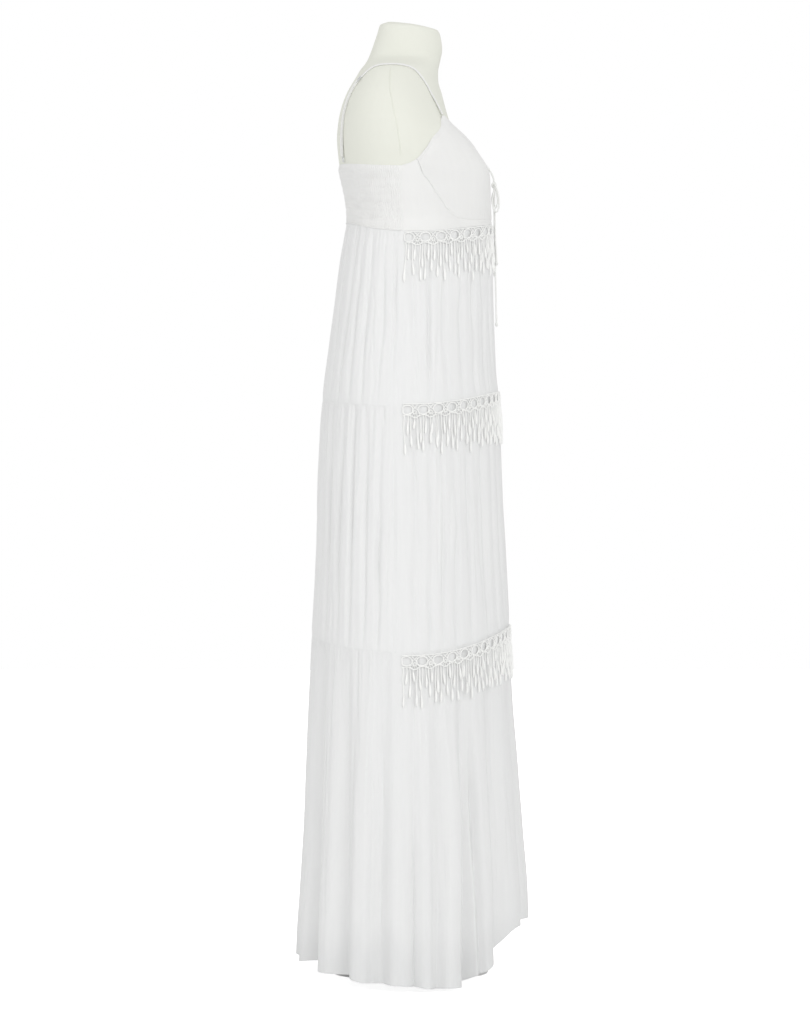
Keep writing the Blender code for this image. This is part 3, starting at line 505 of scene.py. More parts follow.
SHORT_TAIL = [
    (1.7, 7.5, -4.8), (1.8, 7.4, -13), (1.9, 6.4, -26), (1.9, 5.6, -40), (1.9, 5.2, -54), (1.8, 4.8, -68),
    (1.7, 4.8, -88), (1.5, 5.2, -106), (1.35, 5.6, -128.5),
]  # fmt: skip
LONG_TAIL = [
    (1.7, 7.5, -4.8), (1.8, 7.2, -13), (1.9, 6.0, -26), (1.9, 5.2, -40), (2.0, 4.6, -54), (2.0, 4.2, -68),
    (2.2, 4.1, -88), (2.35, 3.5, -104), (2.4, 3.4, -128), (3.0, 3.2, -160), (3.2, 3.1, -195), (3.6, 3.1, -226.5),
]  # fmt: skip


def off_cloth(across, lift, up):
    """The place this far across and off the front of the cloth and up from the knot, in millimetres."""
    height = KNOT_HEIGHT + up / 1000
    angle = np.degrees(np.arcsin(across / 1000 / cloth_section(height)[0]))
    return Vector(cloth_point(angle, height)) - Vector((0, lift / 1000, 0))


def add_piece(name, data, material, node=None):
    """An object for a mesh or a curve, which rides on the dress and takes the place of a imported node."""
    data.materials.append(material)
    piece = add_object(name, data)
    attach(piece, "root")
    if node:
        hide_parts(node)
    return piece


def add_mesh(name, bm, material, node):
    mesh = bpy.data.meshes.new(name)
    bm.to_mesh(mesh)
    bm.free()
    mesh.shade_smooth()
    return add_piece(name, mesh, material, node)


def smooth_route(points, spacing):
    """Points at even steps along a smooth curve through a route's own points, and its length."""
    padded = np.array([2 * points[0] - points[1], *points, 2 * points[-1] - points[-2]])
    fine = []
    for before, first, last, after in zip(padded, padded[1:], padded[2:], padded[3:]):
        for t in np.arange(24) / 24:
            square, cube = 2 * before - 5 * first + 4 * last - after, 3 * first - before - 3 * last + after
            fine.append(0.5 * (2 * first + (last - before) * t + (square * t**2 + cube * t**3)))
    fine = np.array([*fine, points[-1]])
    run = distances(fine)
    even = np.linspace(0, run[-1], max(4, round(run[-1] / spacing)) + 1)
    return np.stack([np.interp(even, run, fine[:, axis]) for axis in range(3)], 1), run[-1]


def add_curve(name, routes, radius, material, sides=2, node=None):
    """A curve with a round section. Each route is a list of points and one of shares of the radius."""
    curve = bpy.data.curves.new(name, "CURVE")
    curve.dimensions = "3D"
    curve.bevel_depth = radius
    curve.bevel_resolution = sides
    curve.use_fill_caps = True
    for points, shares in routes:
        spline = curve.splines.new("POLY")
        spline.points.add(len(points) - 1)
        spline.points.foreach_set("co", np.column_stack([points, np.ones(len(points))]).ravel())
        spline.points.foreach_set("radius", np.broadcast_to(shares, len(points)).astype(float))
    return add_piece(name, curve, material, node)


# The end knot of a tail: how far from the cord's end, and shares of its radius
END_KNOT_LENGTH = 0.0075
END_KNOT = ((0.0072, 1.0), (0.0063, 1.5), (0.0048, 1.75), (0.0030, 1.75), (0.0017, 1.5), (0.0008, 1.1))


def add_cord(node, route, side, end_knot=()):
    """One cord of the tie: the piece, the point where it leaves the object or the knot, and its length."""
    places = [off_cloth(side * across, lift, up) for across, lift, up in route]
    points, length = smooth_route(places, CORD_STEP)
    shares = np.ones(len(points))
    if end_knot:
        end, back = points[-1], unit(points[-2] - points[-1])
        keep = np.linalg.norm(points - end, axis=1) > END_KNOT_LENGTH
        extra = [end + back * distance for distance, _ in end_knot] + [end]
        points = np.array([*points[keep], *extra])
        shares = np.array([*shares[keep], *(share for _, share in end_knot), 0.5])
    piece = add_curve(f"{node}_cord", [(points, shares)], CORD / 2, cord, 3, node)
    print(node, "length", round(length, 4), "m")
    return piece, places[0], length


# %% [markdown]
# The knot is what shows of a bow: one cord wound round the others. A flattened ball alone would look like a
# bead, so three turns of cord are wound round it.

# %% Knot of the bow
KNOT_SIZE = (0.0118, 0.0056, 0.0072)
KNOT_TURNS = ((-0.0028, 0.30), (0.0000, 0.22), (0.0029, 0.30))  # place across and slant of each turn
knot_middle = off_cloth(0, KNOT_STAND_OFF, 0)
bm = bmesh.new()
bmesh.ops.create_uvsphere(bm, u_segments=24, v_segments=14, radius=0.5)
bmesh.ops.scale(bm, verts=bm.verts, vec=KNOT_SIZE)
bmesh.ops.translate(bm, verts=bm.verts, vec=knot_middle)
knot = add_mesh("tie_knot_core", bm, cord, "tie_knot")
turn = np.linspace(0, 2 * math.pi, 25)
wraps = []
for shift, slant in KNOT_TURNS:
    wrap = np.stack([shift + slant * 0.0040 * np.sin(turn), 0.0030 * np.cos(turn), 0.0036 * np.sin(turn)], 1)
    wraps.append((wrap + np.array(knot_middle), 1.0))
knot_wraps = add_curve("tie_knot_wraps", wraps, 0.0014, cord)

TIE_SIDES = (("right", -1, RIGHT_LOOP, SHORT_TAIL), ("left", 1, LEFT_LOOP, LONG_TAIL))
for label, side, loop_route, tail in TIE_SIDES:
    lead, lead_exit, lead_length = add_cord(f"tie_lead_{label}", LEAD_ROUTE, side)
    loop, loop_exit, loop_length = add_cord(f"tie_loop_{label}", loop_route, side)
    tail_piece, tail_exit, tail_length = add_cord(f"tie_tail_{label}", tail, side, END_KNOT)

# %% [markdown]
# ## A panel of cloth
#
# Each panel of the dress is cut flat and takes its shape from the body under it. So each one starts as a flat
# grid, every point of which is moved to its place on the dress by a function of where it is in the cut: u
# runs along the seam and v from the bottom seam to the top one. The UV map keeps the cut's own metres for the
# weave. A Solidify modifier gives it the thickness of cloth, towards the inside. Its borders are sharp edges,
# so that the narrow faces round it don't darken the seams.

# %% Helper for a panel
CLOTH = 0.0011  # thickness


def add_panel(node, place, columns, rows, cut, material, wall=CLOTH, masks=None):
    """A grid moved to its place on the dress. Place turns arrays of u and v into points."""
    bm = bmesh.new()
    bmesh.ops.create_grid(bm, x_segments=columns, y_segments=rows, size=0.5)
    for edge in bm.edges:
        edge.smooth = not edge.is_boundary or not wall
    piece = add_mesh(f"{node}_cloth", bm, material, node)
    mesh = piece.data
    flat = np.empty(len(mesh.vertices) * 3)
    mesh.vertices.foreach_get("co", flat)
    u, v = flat.reshape(-1, 3)[:, 0] + 0.5, flat.reshape(-1, 3)[:, 1] + 0.5
    points = place(u, v)
    mesh.vertices.foreach_set("co", points.ravel())
    corner = np.empty(len(mesh.loops), int)
    mesh.loops.foreach_get("vertex_index", corner)
    uv = np.column_stack([u[corner] * cut[0], v[corner] * cut[1]])
    mesh.uv_layers.new(name="UVMap").data.foreach_set("uv", uv.ravel())
    # An attribute that marks where the colour is painted greyer as shade along the hem, and 0 elsewhere
    shown = mesh.attributes.new("hem_shade", "FLOAT", "POINT")
    shown.data.foreach_set("value", (masks(u, v) if masks else 0 * u).astype(np.float32))
    mesh.update()
    if wall:
        thickness = piece.modifiers.new("cloth", "SOLIDIFY")
        thickness.thickness = wall
        thickness.offset = -1
    return piece


def soft_noise(x, y, seed):
    """Smooth noise from -1 to 1 that turns about once a unit."""
    table = np.random.default_rng(seed).uniform(-1, 1, (509, 61))
    xi, yi = np.floor(x).astype(int), np.floor(y).astype(int)
    s, t = x - xi, y - yi
    s, t = s * s * (3 - 2 * s), t * t * (3 - 2 * t)
    corner = lambda a, b: table[(xi + a) % 509, (yi + b) % 61]  # noqa: E731
    low = corner(0, 0) * (1 - s) + corner(1, 0) * s
    return low * (1 - t) + (corner(0, 1) * (1 - s) + corner(1, 1) * s) * t


# %% [markdown]
# ## The skirt
#
# Each tier is cut about a quarter wider than the seam that it is sewn to, and gathered. Right under the seam
# there are fine gathers a few millimetres apart. Further down they run together into the large folds, whose
# valleys were placed one by one from the photograph. A fold is a smooth wave from crest to valley. The
# gathers each have their own width, depth and reach. Every dent goes inwards, so that the crests stay on the
# skirt's outline.

# %% Folds and gathers
TIER_1_FOLDS = [
    (6, 0.6), (18, 0.8), (31, 0.9), (42, 1.0), (53.6, 1.0), (65.8, 0.7), (76.9, 0.9), (87.5, 0.6),
    (99, 0.9), (108, 0.7), (120, 1.0), (131, 0.8), (142, 0.9), (154, 0.6), (165, 0.8), (175, 0.6),
]  # fmt: skip
TIER_2_FOLDS = [
    (7, 0.7), (18, 0.6), (28, 0.9), (38.4, 1.0), (51.8, 1.1), (61.7, 0.9), (70.5, 0.6), (78.3, 0.8), (87.5, 0.5),
    (97.5, 0.6), (106, 0.9), (114.5, 0.6), (124.6, 1.0), (134.8, 0.9), (146.4, 1.0), (158, 0.7), (171, 0.8),
]  # fmt: skip
TIER_3_FOLDS = [
    (11, 0.7), (39.5, 0.9), (59, 1.3), (76, 0.5), (87.6, 0.45), (103, 0.85), (124.7, 0.8), (150, 1.2), (172, 0.7),
]  # fmt: skip
# A roundness above 1 narrows the valleys and widens the crests. Evenness is how alike the folds stay.
TIER_COLUMNS = "name top bottom folds top_depth middle_depth bottom_depth seed fullness roundness evenness"
Tier = namedtuple("Tier", TIER_COLUMNS)
TIERS = [
    Tier("tier_1", WAIST, HIP, TIER_1_FOLDS, 0.0014, 0.0062, 0.0022, 3, 1.25, 2.2, 0.4),
    Tier("tier_2", HIP, KNEE, TIER_2_FOLDS, 0.0014, 0.0085, 0.0030, 5, 1.25, 2.0, 0.4),
    Tier("tier_3", KNEE, HEM, TIER_3_FOLDS, 0.0020, 0.0200, 0.0290, 8, 1.30, 1.35, 0.9),
]


def fold_valleys(tier, start, end):
    """Angle and depth of each valley of a panel: the right side as seen, the left side a little different."""
    chance = random.Random(tier.seed)
    left = [
        (angle + chance.uniform(-1.2, 1.2), depth * chance.uniform(0.8, 1.1)) for angle, depth in tier.folds
    ]
    right = [(360 - angle, depth) for angle, depth in tier.folds]
    valleys = sorted((angle - 360 if angle > start + 360 else angle, depth) for angle, depth in left + right)
    return [valley for valley in valleys if start + 1 < valley[0] < end - 1]


def fold_share(valleys, start, end, angle, roundness):
    """How far into its folds a panel is: 0 on the crests, each fold's own depth in its valley."""
    crests = [start] + [(a[0] + b[0]) / 2 for a, b in zip(valleys, valleys[1:])] + [end]
    places = np.sort(np.array(crests + [valley[0] for valley in valleys]))
    depths = np.zeros(len(places))
    depths[1::2] = [valley[1] for valley in valleys]
    i = np.clip(np.searchsorted(places, angle, side="right") - 1, 0, len(places) - 2)
    t = np.clip((angle - places[i]) / (places[i + 1] - places[i]), 0, 1)
    from_crest = np.where(i % 2 == 0, t, 1 - t)
    wave = 0.5 - 0.5 * np.cos(np.pi * from_crest**roundness)
    return wave * np.maximum(depths[i], depths[i + 1])


def gathers(along, down, seed, widths=(0.0045, 0.0095), depths=(0.0004, 0.0013), reach=(0.018, 0.11)):
    """How far in the cloth is between the ridges of its gathers, this far along and below the seam."""
    chance = np.random.default_rng(seed)
    width = chance.uniform(*widths, 400)
    places = np.concatenate([[0], np.cumsum(width)])
    depth = chance.uniform(*depths, 400)
    fade = reach[0] + (reach[1] - reach[0]) * chance.uniform(0, 1, 400) ** 2.2
    i = np.clip(np.searchsorted(places, along, side="right") - 1, 0, 399)
    t = (along - places[i]) / width[i]
    return depth[i] * np.sin(np.pi * t) ** 2 * fading(down, fade[i])


CREASES_PER_AREA = 700  # a square metre
LONG_TIER, FEWER_CREASES = 0.45, 0.4  # a tier longer than this has this share of them


def creases(along, down, size, seed):
    """Short narrow creases, each with its own place, length, width, depth and slant."""
    chance = np.random.default_rng(seed)
    total = np.zeros(len(along))
    for _ in range(int(size[0] * size[1] * CREASES_PER_AREA * (1 if size[1] < LONG_TIER else FEWER_CREASES))):
        from_middle = down - chance.uniform(0, size[1])
        off = along - chance.uniform(0, size[0]) - chance.uniform(-0.07, 0.07) * from_middle
        width, length = chance.uniform(0.0014, 0.0032), chance.uniform(0.018, 0.085)
        total += chance.uniform(0.0003, 0.0012) * np.exp(-((off / width) ** 2) - (from_middle / length) ** 4)
    return total


# Sharp creases of the lowest tier: the angles at its top and hem, how far below its top each begins, its depth
HARD_CREASES = [
    (55.5, 52.5, 0.12, 0.0090), (78, 79, 0.20, 0.0030), (88, 88.5, 0.24, 0.0030), (119, 120.5, 0.14, 0.0030),
    (109, 108, 0.10, 0.0022), (139, 141, 0.08, 0.0026), (44, 40, 0.12, 0.0030), (20, 21, 0.16, 0.0030),
]  # fmt: skip
HARD_CREASE_WIDTH, HARD_CREASE_FADE = 0.0030, 0.12
METRES_A_DEGREE = 0.0042  # round the lowest tier


def hard_creases(angle, v, down):
    """How far in the cloth is in the sharp creases, on both sides of the body."""
    total = np.zeros(len(angle))
    for at_top, at_hem, begins, depth in HARD_CREASES:
        for side in (-1, 1):
            middle = side * (at_hem + (at_top - at_hem) * v) % 360
            off = ((angle - middle + 180) % 360 - 180) * METRES_A_DEGREE
            shape = np.exp(-np.abs(off / HARD_CREASE_WIDTH) ** 1.5)
            total += depth * shape * np.clip((down - begins) / HARD_CREASE_FADE, 0, 1)
    return total


SEAM_SINK = 0.0014  # how far in the cloth is at its seams, so that it runs on from panel to panel
WAIST_RISE = 0.0009  # how much less it is in at the waist, where it is sewn to the flat bodice
RIPPLE = 0.0011  # depth of the soft ripple of the whole cloth
WIDE_GATHERS = ((0.012, 0.030), (0.0003, 0.0022), (0.08, 0.34))  # their widths, depths and reach
HEM_SHADE_EDGE, HEM_SHADE_FADE = 0.100, 0.045  # top of the painted shade at the hem, and how far it fades in


print("valleys of the front panels:", [len(fold_valleys(tier, -SIDE_SEAM, SIDE_SEAM)) for tier in TIERS])

# %% [markdown]
# A panel of a tier is in by the sum of all that dents it: folds, two sizes of gathers, a soft ripple, creases
# and sharp creases. At a seam the panels on both sides are in by the same depth, so that the cloth runs on from
# panel to panel. The folds wander a little on their way down.

# %% The tiers
def add_tier(tier, name, start, end, columns, rows):
    """One gathered panel of a tier, from side seam to side seam."""
    valleys = fold_valleys(tier, start, end)
    depth_at = smooth_curve([0, 0.55, 1], [tier.top_depth, tier.middle_depth, tier.bottom_depth])
    angles, run = run_along(tier.top, start, end)
    drop = float(np.mean(seam_height(tier.top, angles) - seam_height(tier.bottom, angles)))
    seed = tier.seed * 10 + int(start > 0)

    def place(u, v):
        v = 1 - (1 - v) ** 1.35  # more rows near the gathered seam
        angle = start + u * (end - start)
        low, top = seam_height(tier.bottom, angle), seam_height(tier.top, angle)
        height = low + v * (top - low)
        along, down = np.interp(angle, angles, run), top - height
        near_seam = np.minimum(angle - start, end - angle)
        drift = 1.8 * soft_noise(angle / 17, 2.2 * v, seed + 1) + 0.7 * soft_noise(angle / 7, 6 * v, seed + 2)
        drift *= np.sin(np.pi * v) ** 2 * np.clip(near_seam / 8, 0, 1)
        alike = tier.evenness + (1 - tier.evenness) * (0.65 + soft_noise(angle / 7, 3.1 * v, seed + 9))
        sink = fold_share(valleys, start, end, angle + drift, tier.roundness) * depth_at(1 - v) * alike
        sink += gathers(along, down, seed)
        sink += gathers(along + 0.4 * drift / 57, down, seed + 3, *WIDE_GATHERS)
        ripple = soft_noise(along / 0.019, 3 * v, seed + 5) + 0.6 * soft_noise(along / 0.009, 6 * v, seed + 6)
        sink += RIPPLE * (1 + ripple / 1.6) * np.sin(np.pi * np.clip(v, 0, 1)) ** 0.7
        wander = 0.002 * soft_noise(angle / 9, 9 * v, seed + 7)
        sink += creases(along + wander, down, (run[-1], drop), seed + 8)
        if tier.bottom is HEM:
            sink += hard_creases(angle + 0.3 * drift, v, down)
        free = (1 - 0.8 * fading(down, 0.006)) * (1 - fading(near_seam, 1.6))
        if tier.bottom is not HEM:
            free *= 1 - 0.8 * fading(height - low, 0.008)
        edge_sink = SEAM_SINK - WAIST_RISE * fading(down, 0.030) * (tier.top is WAIST)
        sink = edge_sink + (sink - edge_sink) * free
        return pressed_in(angle, height, sink)

    # Painted shade: how much greyer the cloth is painted in a band along the hem, under an uneven edge
    def hem_shade(u, v):
        angle, height = start + u * (end - start), place(u, v)[:, 2]
        edge = HEM_SHADE_EDGE + 0.016 * soft_noise(angle / 7, 0 * u, 4)
        edge += 0.010 * soft_noise(angle / 2.5, 0 * u, 6)
        return np.clip((edge - height) / HEM_SHADE_FADE, 0, 1) * (0.75 + 0.25 * soft_noise(angle / 6, 3 * v, 7))

    cut = (run[-1] * tier.fullness, drop)
    masks = hem_shade if tier.bottom is HEM else None
    piece = add_panel(name, place, columns, rows, cut, cotton, masks=masks)
    print(name, "cut", round(cut[0], 3), "by", round(cut[1], 3), "m,", len(valleys), "folds")
    return piece, cut


for tier in TIERS:
    for half, start, end in (("front", -SIDE_SEAM, SIDE_SEAM), ("back", SIDE_SEAM, 360 - SIDE_SEAM)):
        name = f"{tier.name}_{half}"
        add_tier(tier, name, start, end, 330, 64)

# %% [markdown]
# ## The bodice
#
# The cups are each in one piece from the centre front to the armhole, with a curved seam under them, a few
# gathers where the bust is fullest, and a narrow bound edge. The front panel fills the space down to the
# waist. The back is shirred: rows of elastic thread draw the cloth into columns of small puckers.

# %% Cups
BINDING = 0.0045
CUP_SEAM_DENT, CUP_SEAM_REACH = 0.0010, 0.0018  # how far in the seam under a cup is drawn
CUP_FULLEST, CUP_GATHERED = 27, 17  # angle at the middle of a cup's gathers, and how far they spread
CUP_RADIUS = 0.15  # turns angles round a cup into distances
CUP_EDGE = 0.06  # angle of a cup's edge at the centre front
UNDER_ARM = 79  # from this angle on, the seam under a cup runs up into the armhole


def under_cup(angle):
    """The seam under a cup, which runs up into the armhole at the cup's side."""
    low, armhole = edge_height(UNDER_CUP, angle), edge_height(ARMHOLE, angle)
    turned = np.clip((np.abs(angle) - UNDER_ARM) / (CUP_SIDE - UNDER_ARM), 0, 1)
    return low + (armhole - low) * turned * turned * (3 - 2 * turned)


def to_form(angle, height, off_edge, reach):
    """How far in the cloth must be for its edge to rest on the form, fading out away from the edge."""
    between = cloth_point(angle, height) - form_point(angle, height)
    between = np.sum(between * outward(cloth_point, angle, height), -1)
    return np.clip(between - CLOTH - 0.0004, 0, 0.008) * fading(off_edge, reach)


def add_cup(name, side):
    def place(u, v):
        span = CUP_SIDE - CUP_EDGE
        angle = CUP_EDGE + u * span if side > 0 else (u - 1) * span - CUP_EDGE
        around = np.abs(angle)
        low = under_cup(angle) + SEAM_GAP / 2
        top = np.maximum(cup_top(angle), low)
        height = low + v * (top - low)
        up, down = height - low, top - height
        along = around / 180 * math.pi * CUP_RADIUS
        sink = gathers(along, up, 71, (0.0040, 0.0070), (0.0005, 0.0012), (0.012, 0.028))
        sink *= 2.0 * fading(around - CUP_FULLEST, CUP_GATHERED) * (1 - 0.8 * fading(up, 0.003))
        sink += 0.0006 * (1 + soft_noise(around / 9, 3 * v, 72)) * np.clip(up / 0.01, 0, 1)
        binding = np.clip(1 - np.abs(down - BINDING / 2) / (BINDING / 2), 0, 1) ** 0.5
        sink += CUP_SEAM_DENT * fading(up, CUP_SEAM_REACH) - 0.0005 * binding
        sink += 0.0003 * fading(down - BINDING, 0.0008)
        sink += np.clip((around - 37) / 6, 0, 1) * to_form(angle, height, down, 0.010)
        return pressed_in(angle, height, sink)

    return add_panel(name, place, 110, 56, (0.235, 0.150), smooth_cotton)


cups = {name: add_cup(name, side) for name, side in (("cup_right", -1), ("cup_left", 1))}

# %% Front panel and shirred back
def front_panel_place(u, v):
    angle = -SIDE_SEAM + u * 2 * SIDE_SEAM
    low = seam_height(WAIST, angle) + SEAM_GAP / 2
    top = np.where(np.abs(angle) > CUP_SIDE, edge_height(ARMHOLE, angle), under_cup(angle))
    height = low + v * (top - SEAM_GAP / 2 - low)
    sink = 0.0004 * (1 + soft_noise(angle / 14, 2 * v, 81)) * np.sin(np.pi * np.clip(v, 0, 1))
    sink += 0.0003 * fading(height - low, 0.0040)
    sink += CUP_SEAM_DENT * fading(top - height, CUP_SEAM_REACH) * (np.abs(angle) < CUP_SIDE)
    sink += np.clip((np.abs(angle) - UNDER_ARM) / 5, 0, 1) * to_form(angle, height, top - height, 0.010)
    return pressed_in(angle, height, sink)


SHIRR_ROWS = 8
PUCKER, PUCKER_DEPTH = 0.0042, 0.0020
BACK_PANEL_WIDTH = 0.385  # as it is drawn in by the elastic


def back_panel_place(u, v):
    start, end = SIDE_SEAM, 360 - SIDE_SEAM
    angle = start + u * (end - start)
    low = seam_height(WAIST, angle) + SEAM_GAP / 2
    top = BACK_TOP_SIDE + (BACK_TOP_CENTRE - BACK_TOP_SIDE) * np.abs(np.cos(np.radians(angle))) ** 2
    height = low + v * (top - low)
    along, row = u * BACK_PANEL_WIDTH, v * SHIRR_ROWS
    between = np.abs(np.sin(np.pi * row)) ** 0.8
    shifted = along / PUCKER + 0.5 * soft_noise(along / 0.02, row, 91) + 0.25 * (np.floor(row) % 2)
    pucker = 0.5 + 0.5 * np.cos(2 * np.pi * shifted) * (0.75 + 0.25 * soft_noise(along / 0.008, row, 92))
    inside = np.clip(np.minimum(along, BACK_PANEL_WIDTH - along) / 0.006, 0, 1) * np.clip(v * 30, 0, 1)
    sink = (0.0006 + 0.0002 * (1 - between) - PUCKER_DEPTH * (0.35 + 0.65 * between) * (pucker - 0.5)) * inside
    sink += (SEAM_SINK - WAIST_RISE) * fading(height - low, 0.004)
    sink += to_form(angle, height, top - height, 0.005)
    return pressed_in(angle, height, sink)


front_panel = add_panel("bodice_front_panel", front_panel_place, 150, 24, (0.440, 0.070), smooth_cotton)
back_panel = add_panel("bodice_back_shirred", back_panel_place, 380, 64, (0.560, 0.090), smooth_cotton)

seam_angles = np.linspace(SIDE_SEAM + 1, 359 - SIDE_SEAM, 180)
seam_heights = seam_height(WAIST, seam_angles) + 0.0008
seam_line = pressed_in(seam_angles, seam_heights, 0.0002)
piping = add_curve("waist_piping", [(seam_line, 1.0)], 0.0009, smooth_cotton, 2)

# %% [markdown]
# ## The dress form and its stand
#
# The form is smooth and covered with ivory jersey: rings from its flat underside to the domed top of the
# neck. A grid is wrapped round it, its two sides are merged at the back, and its ends are closed. The
# covering's side seams are fine raised lines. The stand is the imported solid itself, with a painted finish.

# %% Form
def form_place(u, v):
    heights = np.array([row.height for row in FORM_TABLE])
    height = np.interp(v * (len(heights) - 1), np.arange(len(heights)), heights)
    return form_point(-180 + 360 * u, height)


form = add_panel("form_torso", form_place, 96, 96, (0.9, 0.75), jersey, wall=0)
bm = bmesh.new()
bm.from_mesh(form.data)
bmesh.ops.remove_doubles(bm, verts=bm.verts, dist=0.00002)
bmesh.ops.holes_fill(bm, edges=[edge for edge in bm.edges if edge.is_boundary], sides=0)
bmesh.ops.recalc_face_normals(bm, faces=bm.faces)
bm.to_mesh(form.data)
bm.free()
form.data.set_sharp_from_angle(angle=math.radians(45))

heights = np.linspace(1.292, 1.434, 40)
side_angles = np.interp(heights, [1.292, 1.446], [94.0, 92.0])
side_lines = [(form_point(side * side_angles, heights), 1.0) for side in (-1, 1)]
add_curve("form_side_seams", side_lines, 0.0007, jersey, 1)
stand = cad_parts["stand"].data
stand.materials.clear()
stand.materials.append(steel)
print("form triangles:", 2 * len(form.data.polygons))

# %% [markdown]
# ## The straps
#
# A narrow strap runs from the point of each cup over the shoulder, through a slider and a ring on the back
# panel, and doubles back to the slider, so its length can be set. It is a flat band with rolled edges that
# follows the form's surface.

# %% Straps
STRAP_WIDTH, STRAP_WALL = 0.0050, 0.0018
STRAP_LIFT, STRAP_FRONT_LIFT, STRAP_END_LIFT = 0.0004, 0.0024, 0.0016
RING_HEIGHT, RING_RADIUS, RING_WIRE = 1.2930, 0.0038, 0.0007
SLIDER_ANGLE, SLIDER_BAR_GAP, SLIDER_HALF_WIDTH, SLIDER_WIRE = 138.0, 0.0036, 0.0040, 0.00065
strap_offset = smooth_curve([38.5, 90, 120, 150, 170], [0.1015, 0.1080, 0.1010, 0.0900, 0.0820])


def shoulder_height(half_width):
    """The height on the shoulder where the form is this wide."""
    low, high = 1.335, 1.460
    for _ in range(40):
        middle = (low + high) / 2
        low, high = (middle, high) if form_section(middle)[0] > half_width else (low, middle)
    return (low + high) / 2


def strap_line():
    """Functions for the angle and height along the strap, from cup over shoulder to ring, and its length."""
    route = [(38.5, NECKLINE[-1][1] + 3 * SEAM_GAP)]
    for angle in 39 + np.arange(226) / 2:
        squareness = 1.0 if angle <= 90 else BACK_SQUARENESS
        across = math.sin(math.radians(angle)) ** squareness
        route.append((angle, shoulder_height(strap_offset(angle) / across)))
    angle, height = route[-1]
    low = RING_HEIGHT + RING_RADIUS + RING_WIRE + SEAM_GAP
    for share in np.arange(1, 13) / 12:
        lower = height + share * (low - height)
        across = strap_offset(angle + 20 * share) / form_section(lower)[0]
        route.append((180 - math.degrees(math.asin(across ** (1 / BACK_SQUARENESS))), lower))
    angles, heights = np.array(route).T
    run = distances(form_point(angles, heights))
    return smooth_curve(run, angles), smooth_curve(run, heights), run[-1]


angle_along, height_along, strap_length = strap_line()
strap_lift = smooth_curve([0, 0.16, 0.88, 1], [STRAP_FRONT_LIFT, STRAP_LIFT, STRAP_LIFT, STRAP_END_LIFT])
shares = np.linspace(0, 1, 400)
slider_share = float(np.interp(SLIDER_ANGLE, angle_along(shares * strap_length), shares))
print("strap length", round(strap_length, 3), "m, slider at", round(slider_share * strap_length, 3), "m")


def strap_axes(share):
    """Points of the form under the strap, and the directions out of the form, along the strap and across."""
    run = share * strap_length
    ahead, behind = (form_point(angle_along(run + step), height_along(run + step)) for step in (0.002, -0.002))
    angle, height = angle_along(run), height_along(run)
    normal, along = surface_normal(form_point, angle, height), unit(ahead - behind)
    return form_point(angle, height), normal, along, unit(np.cross(along, normal))


def on_side(points, side):
    """Points of the wearer's left side, or the same points on the right side."""
    return points * np.array([side, 1, 1])


def add_strap(name, side, first, last, lift):
    """A band from one share of the strap's line to another."""

    def place(u, v):
        share = first + v * (last - first)
        point, normal, _, across = strap_axes(share)
        crown = STRAP_WALL * (1 - 0.45 * np.abs(2 * u - 1) ** 4)
        across = across * ((u - 0.5) * STRAP_WIDTH)[:, None]
        return on_side(point + normal * (strap_lift(share) + lift + crown)[:, None] + across, side)

    cut = (STRAP_WIDTH, (last - first) * strap_length)
    piece = add_panel(name, place, 8, 150, cut, smooth_cotton, wall=STRAP_WALL)
    bm = bmesh.new()
    bm.from_mesh(piece.data)
    bmesh.ops.recalc_face_normals(bm, faces=bm.faces)
    bm.faces.ensure_lookup_table()
    middle = bm.faces[len(bm.faces) // 2]
    if middle.normal.dot(middle.calc_center_median() - Vector((0, 0, RING_HEIGHT))) < 0:
        bmesh.ops.reverse_faces(bm, faces=bm.faces)
    bm.to_mesh(piece.data)
    bm.free()
    return piece


def add_ring(name, side):
    """A wire ring that joins the strap to the back panel: an open line that ends where it begins."""
    angle = float(angle_along(strap_length))
    normal = surface_normal(form_point, angle, RING_HEIGHT)
    down = unit(form_point(angle, RING_HEIGHT - 0.001) - form_point(angle, RING_HEIGHT + 0.001))
    across = unit(np.cross(down, normal))
    turn = np.linspace(0, 2 * math.pi, 33)[:, None]
    middle = form_point(angle, RING_HEIGHT) + normal * (STRAP_END_LIFT + RING_WIRE)
    loop = middle + RING_RADIUS * (across * np.cos(turn) + down * np.sin(turn))
    return add_curve(f"{name}_wire", [(on_side(loop, side), 1.0)], RING_WIRE, metal, node=name)


def add_slider(name, side):
    """A slider over the strap: three wire bars across it, and one along each of its edges."""
    middle, normal, along, across = strap_axes(slider_share)
    middle = middle + normal * (strap_lift(slider_share) + STRAP_WALL + 3 * SEAM_GAP)
    bars = []
    for shift in (-SLIDER_BAR_GAP, 0.0, SLIDER_BAR_GAP):
        reach = np.array([-0.0042, -0.002, 0, 0.002, 0.0042])[:, None]
        bars.append((on_side(middle + along * shift + across * reach, side), 1.0))
    for shift in (-SLIDER_HALF_WIDTH, SLIDER_HALF_WIDTH):
        reach = np.array([-0.0038, -0.002, 0, 0.002, 0.0038])[:, None]
        bars.append((on_side(middle + across * shift + along * reach, side), 1.0))
    return add_curve(f"{name}_bars", bars, SLIDER_WIRE, metal, node=name)


for label, side in (("right", -1), ("left", 1)):
    strap = add_strap(f"strap_{label}", side, 0.0, 1.0, 0.0)
    doubled = add_strap(f"strap_return_{label}", side, slider_share + 0.01, 1.0, STRAP_WALL + 1.5 * SEAM_GAP)
    slider, ring = add_slider(f"strap_slider_{label}", side), add_ring(f"strap_ring_{label}", side)

# %% [markdown]
# ## The crocheted trims
#
# Each trim is one long piece of crochet laid over a seam of the front: a chain along the top, open ovals with
# crossed threads between them, a small rosette in a scalloped lobe under each crossing, and tassels that hang
# from the lobes. Crochet is yarn, so it is drawn as lines of yarn: each line is a route along the band and up
# and down it, and all lines of a trim are the splines of one curve. The stitches show as beads along the
# yarn.

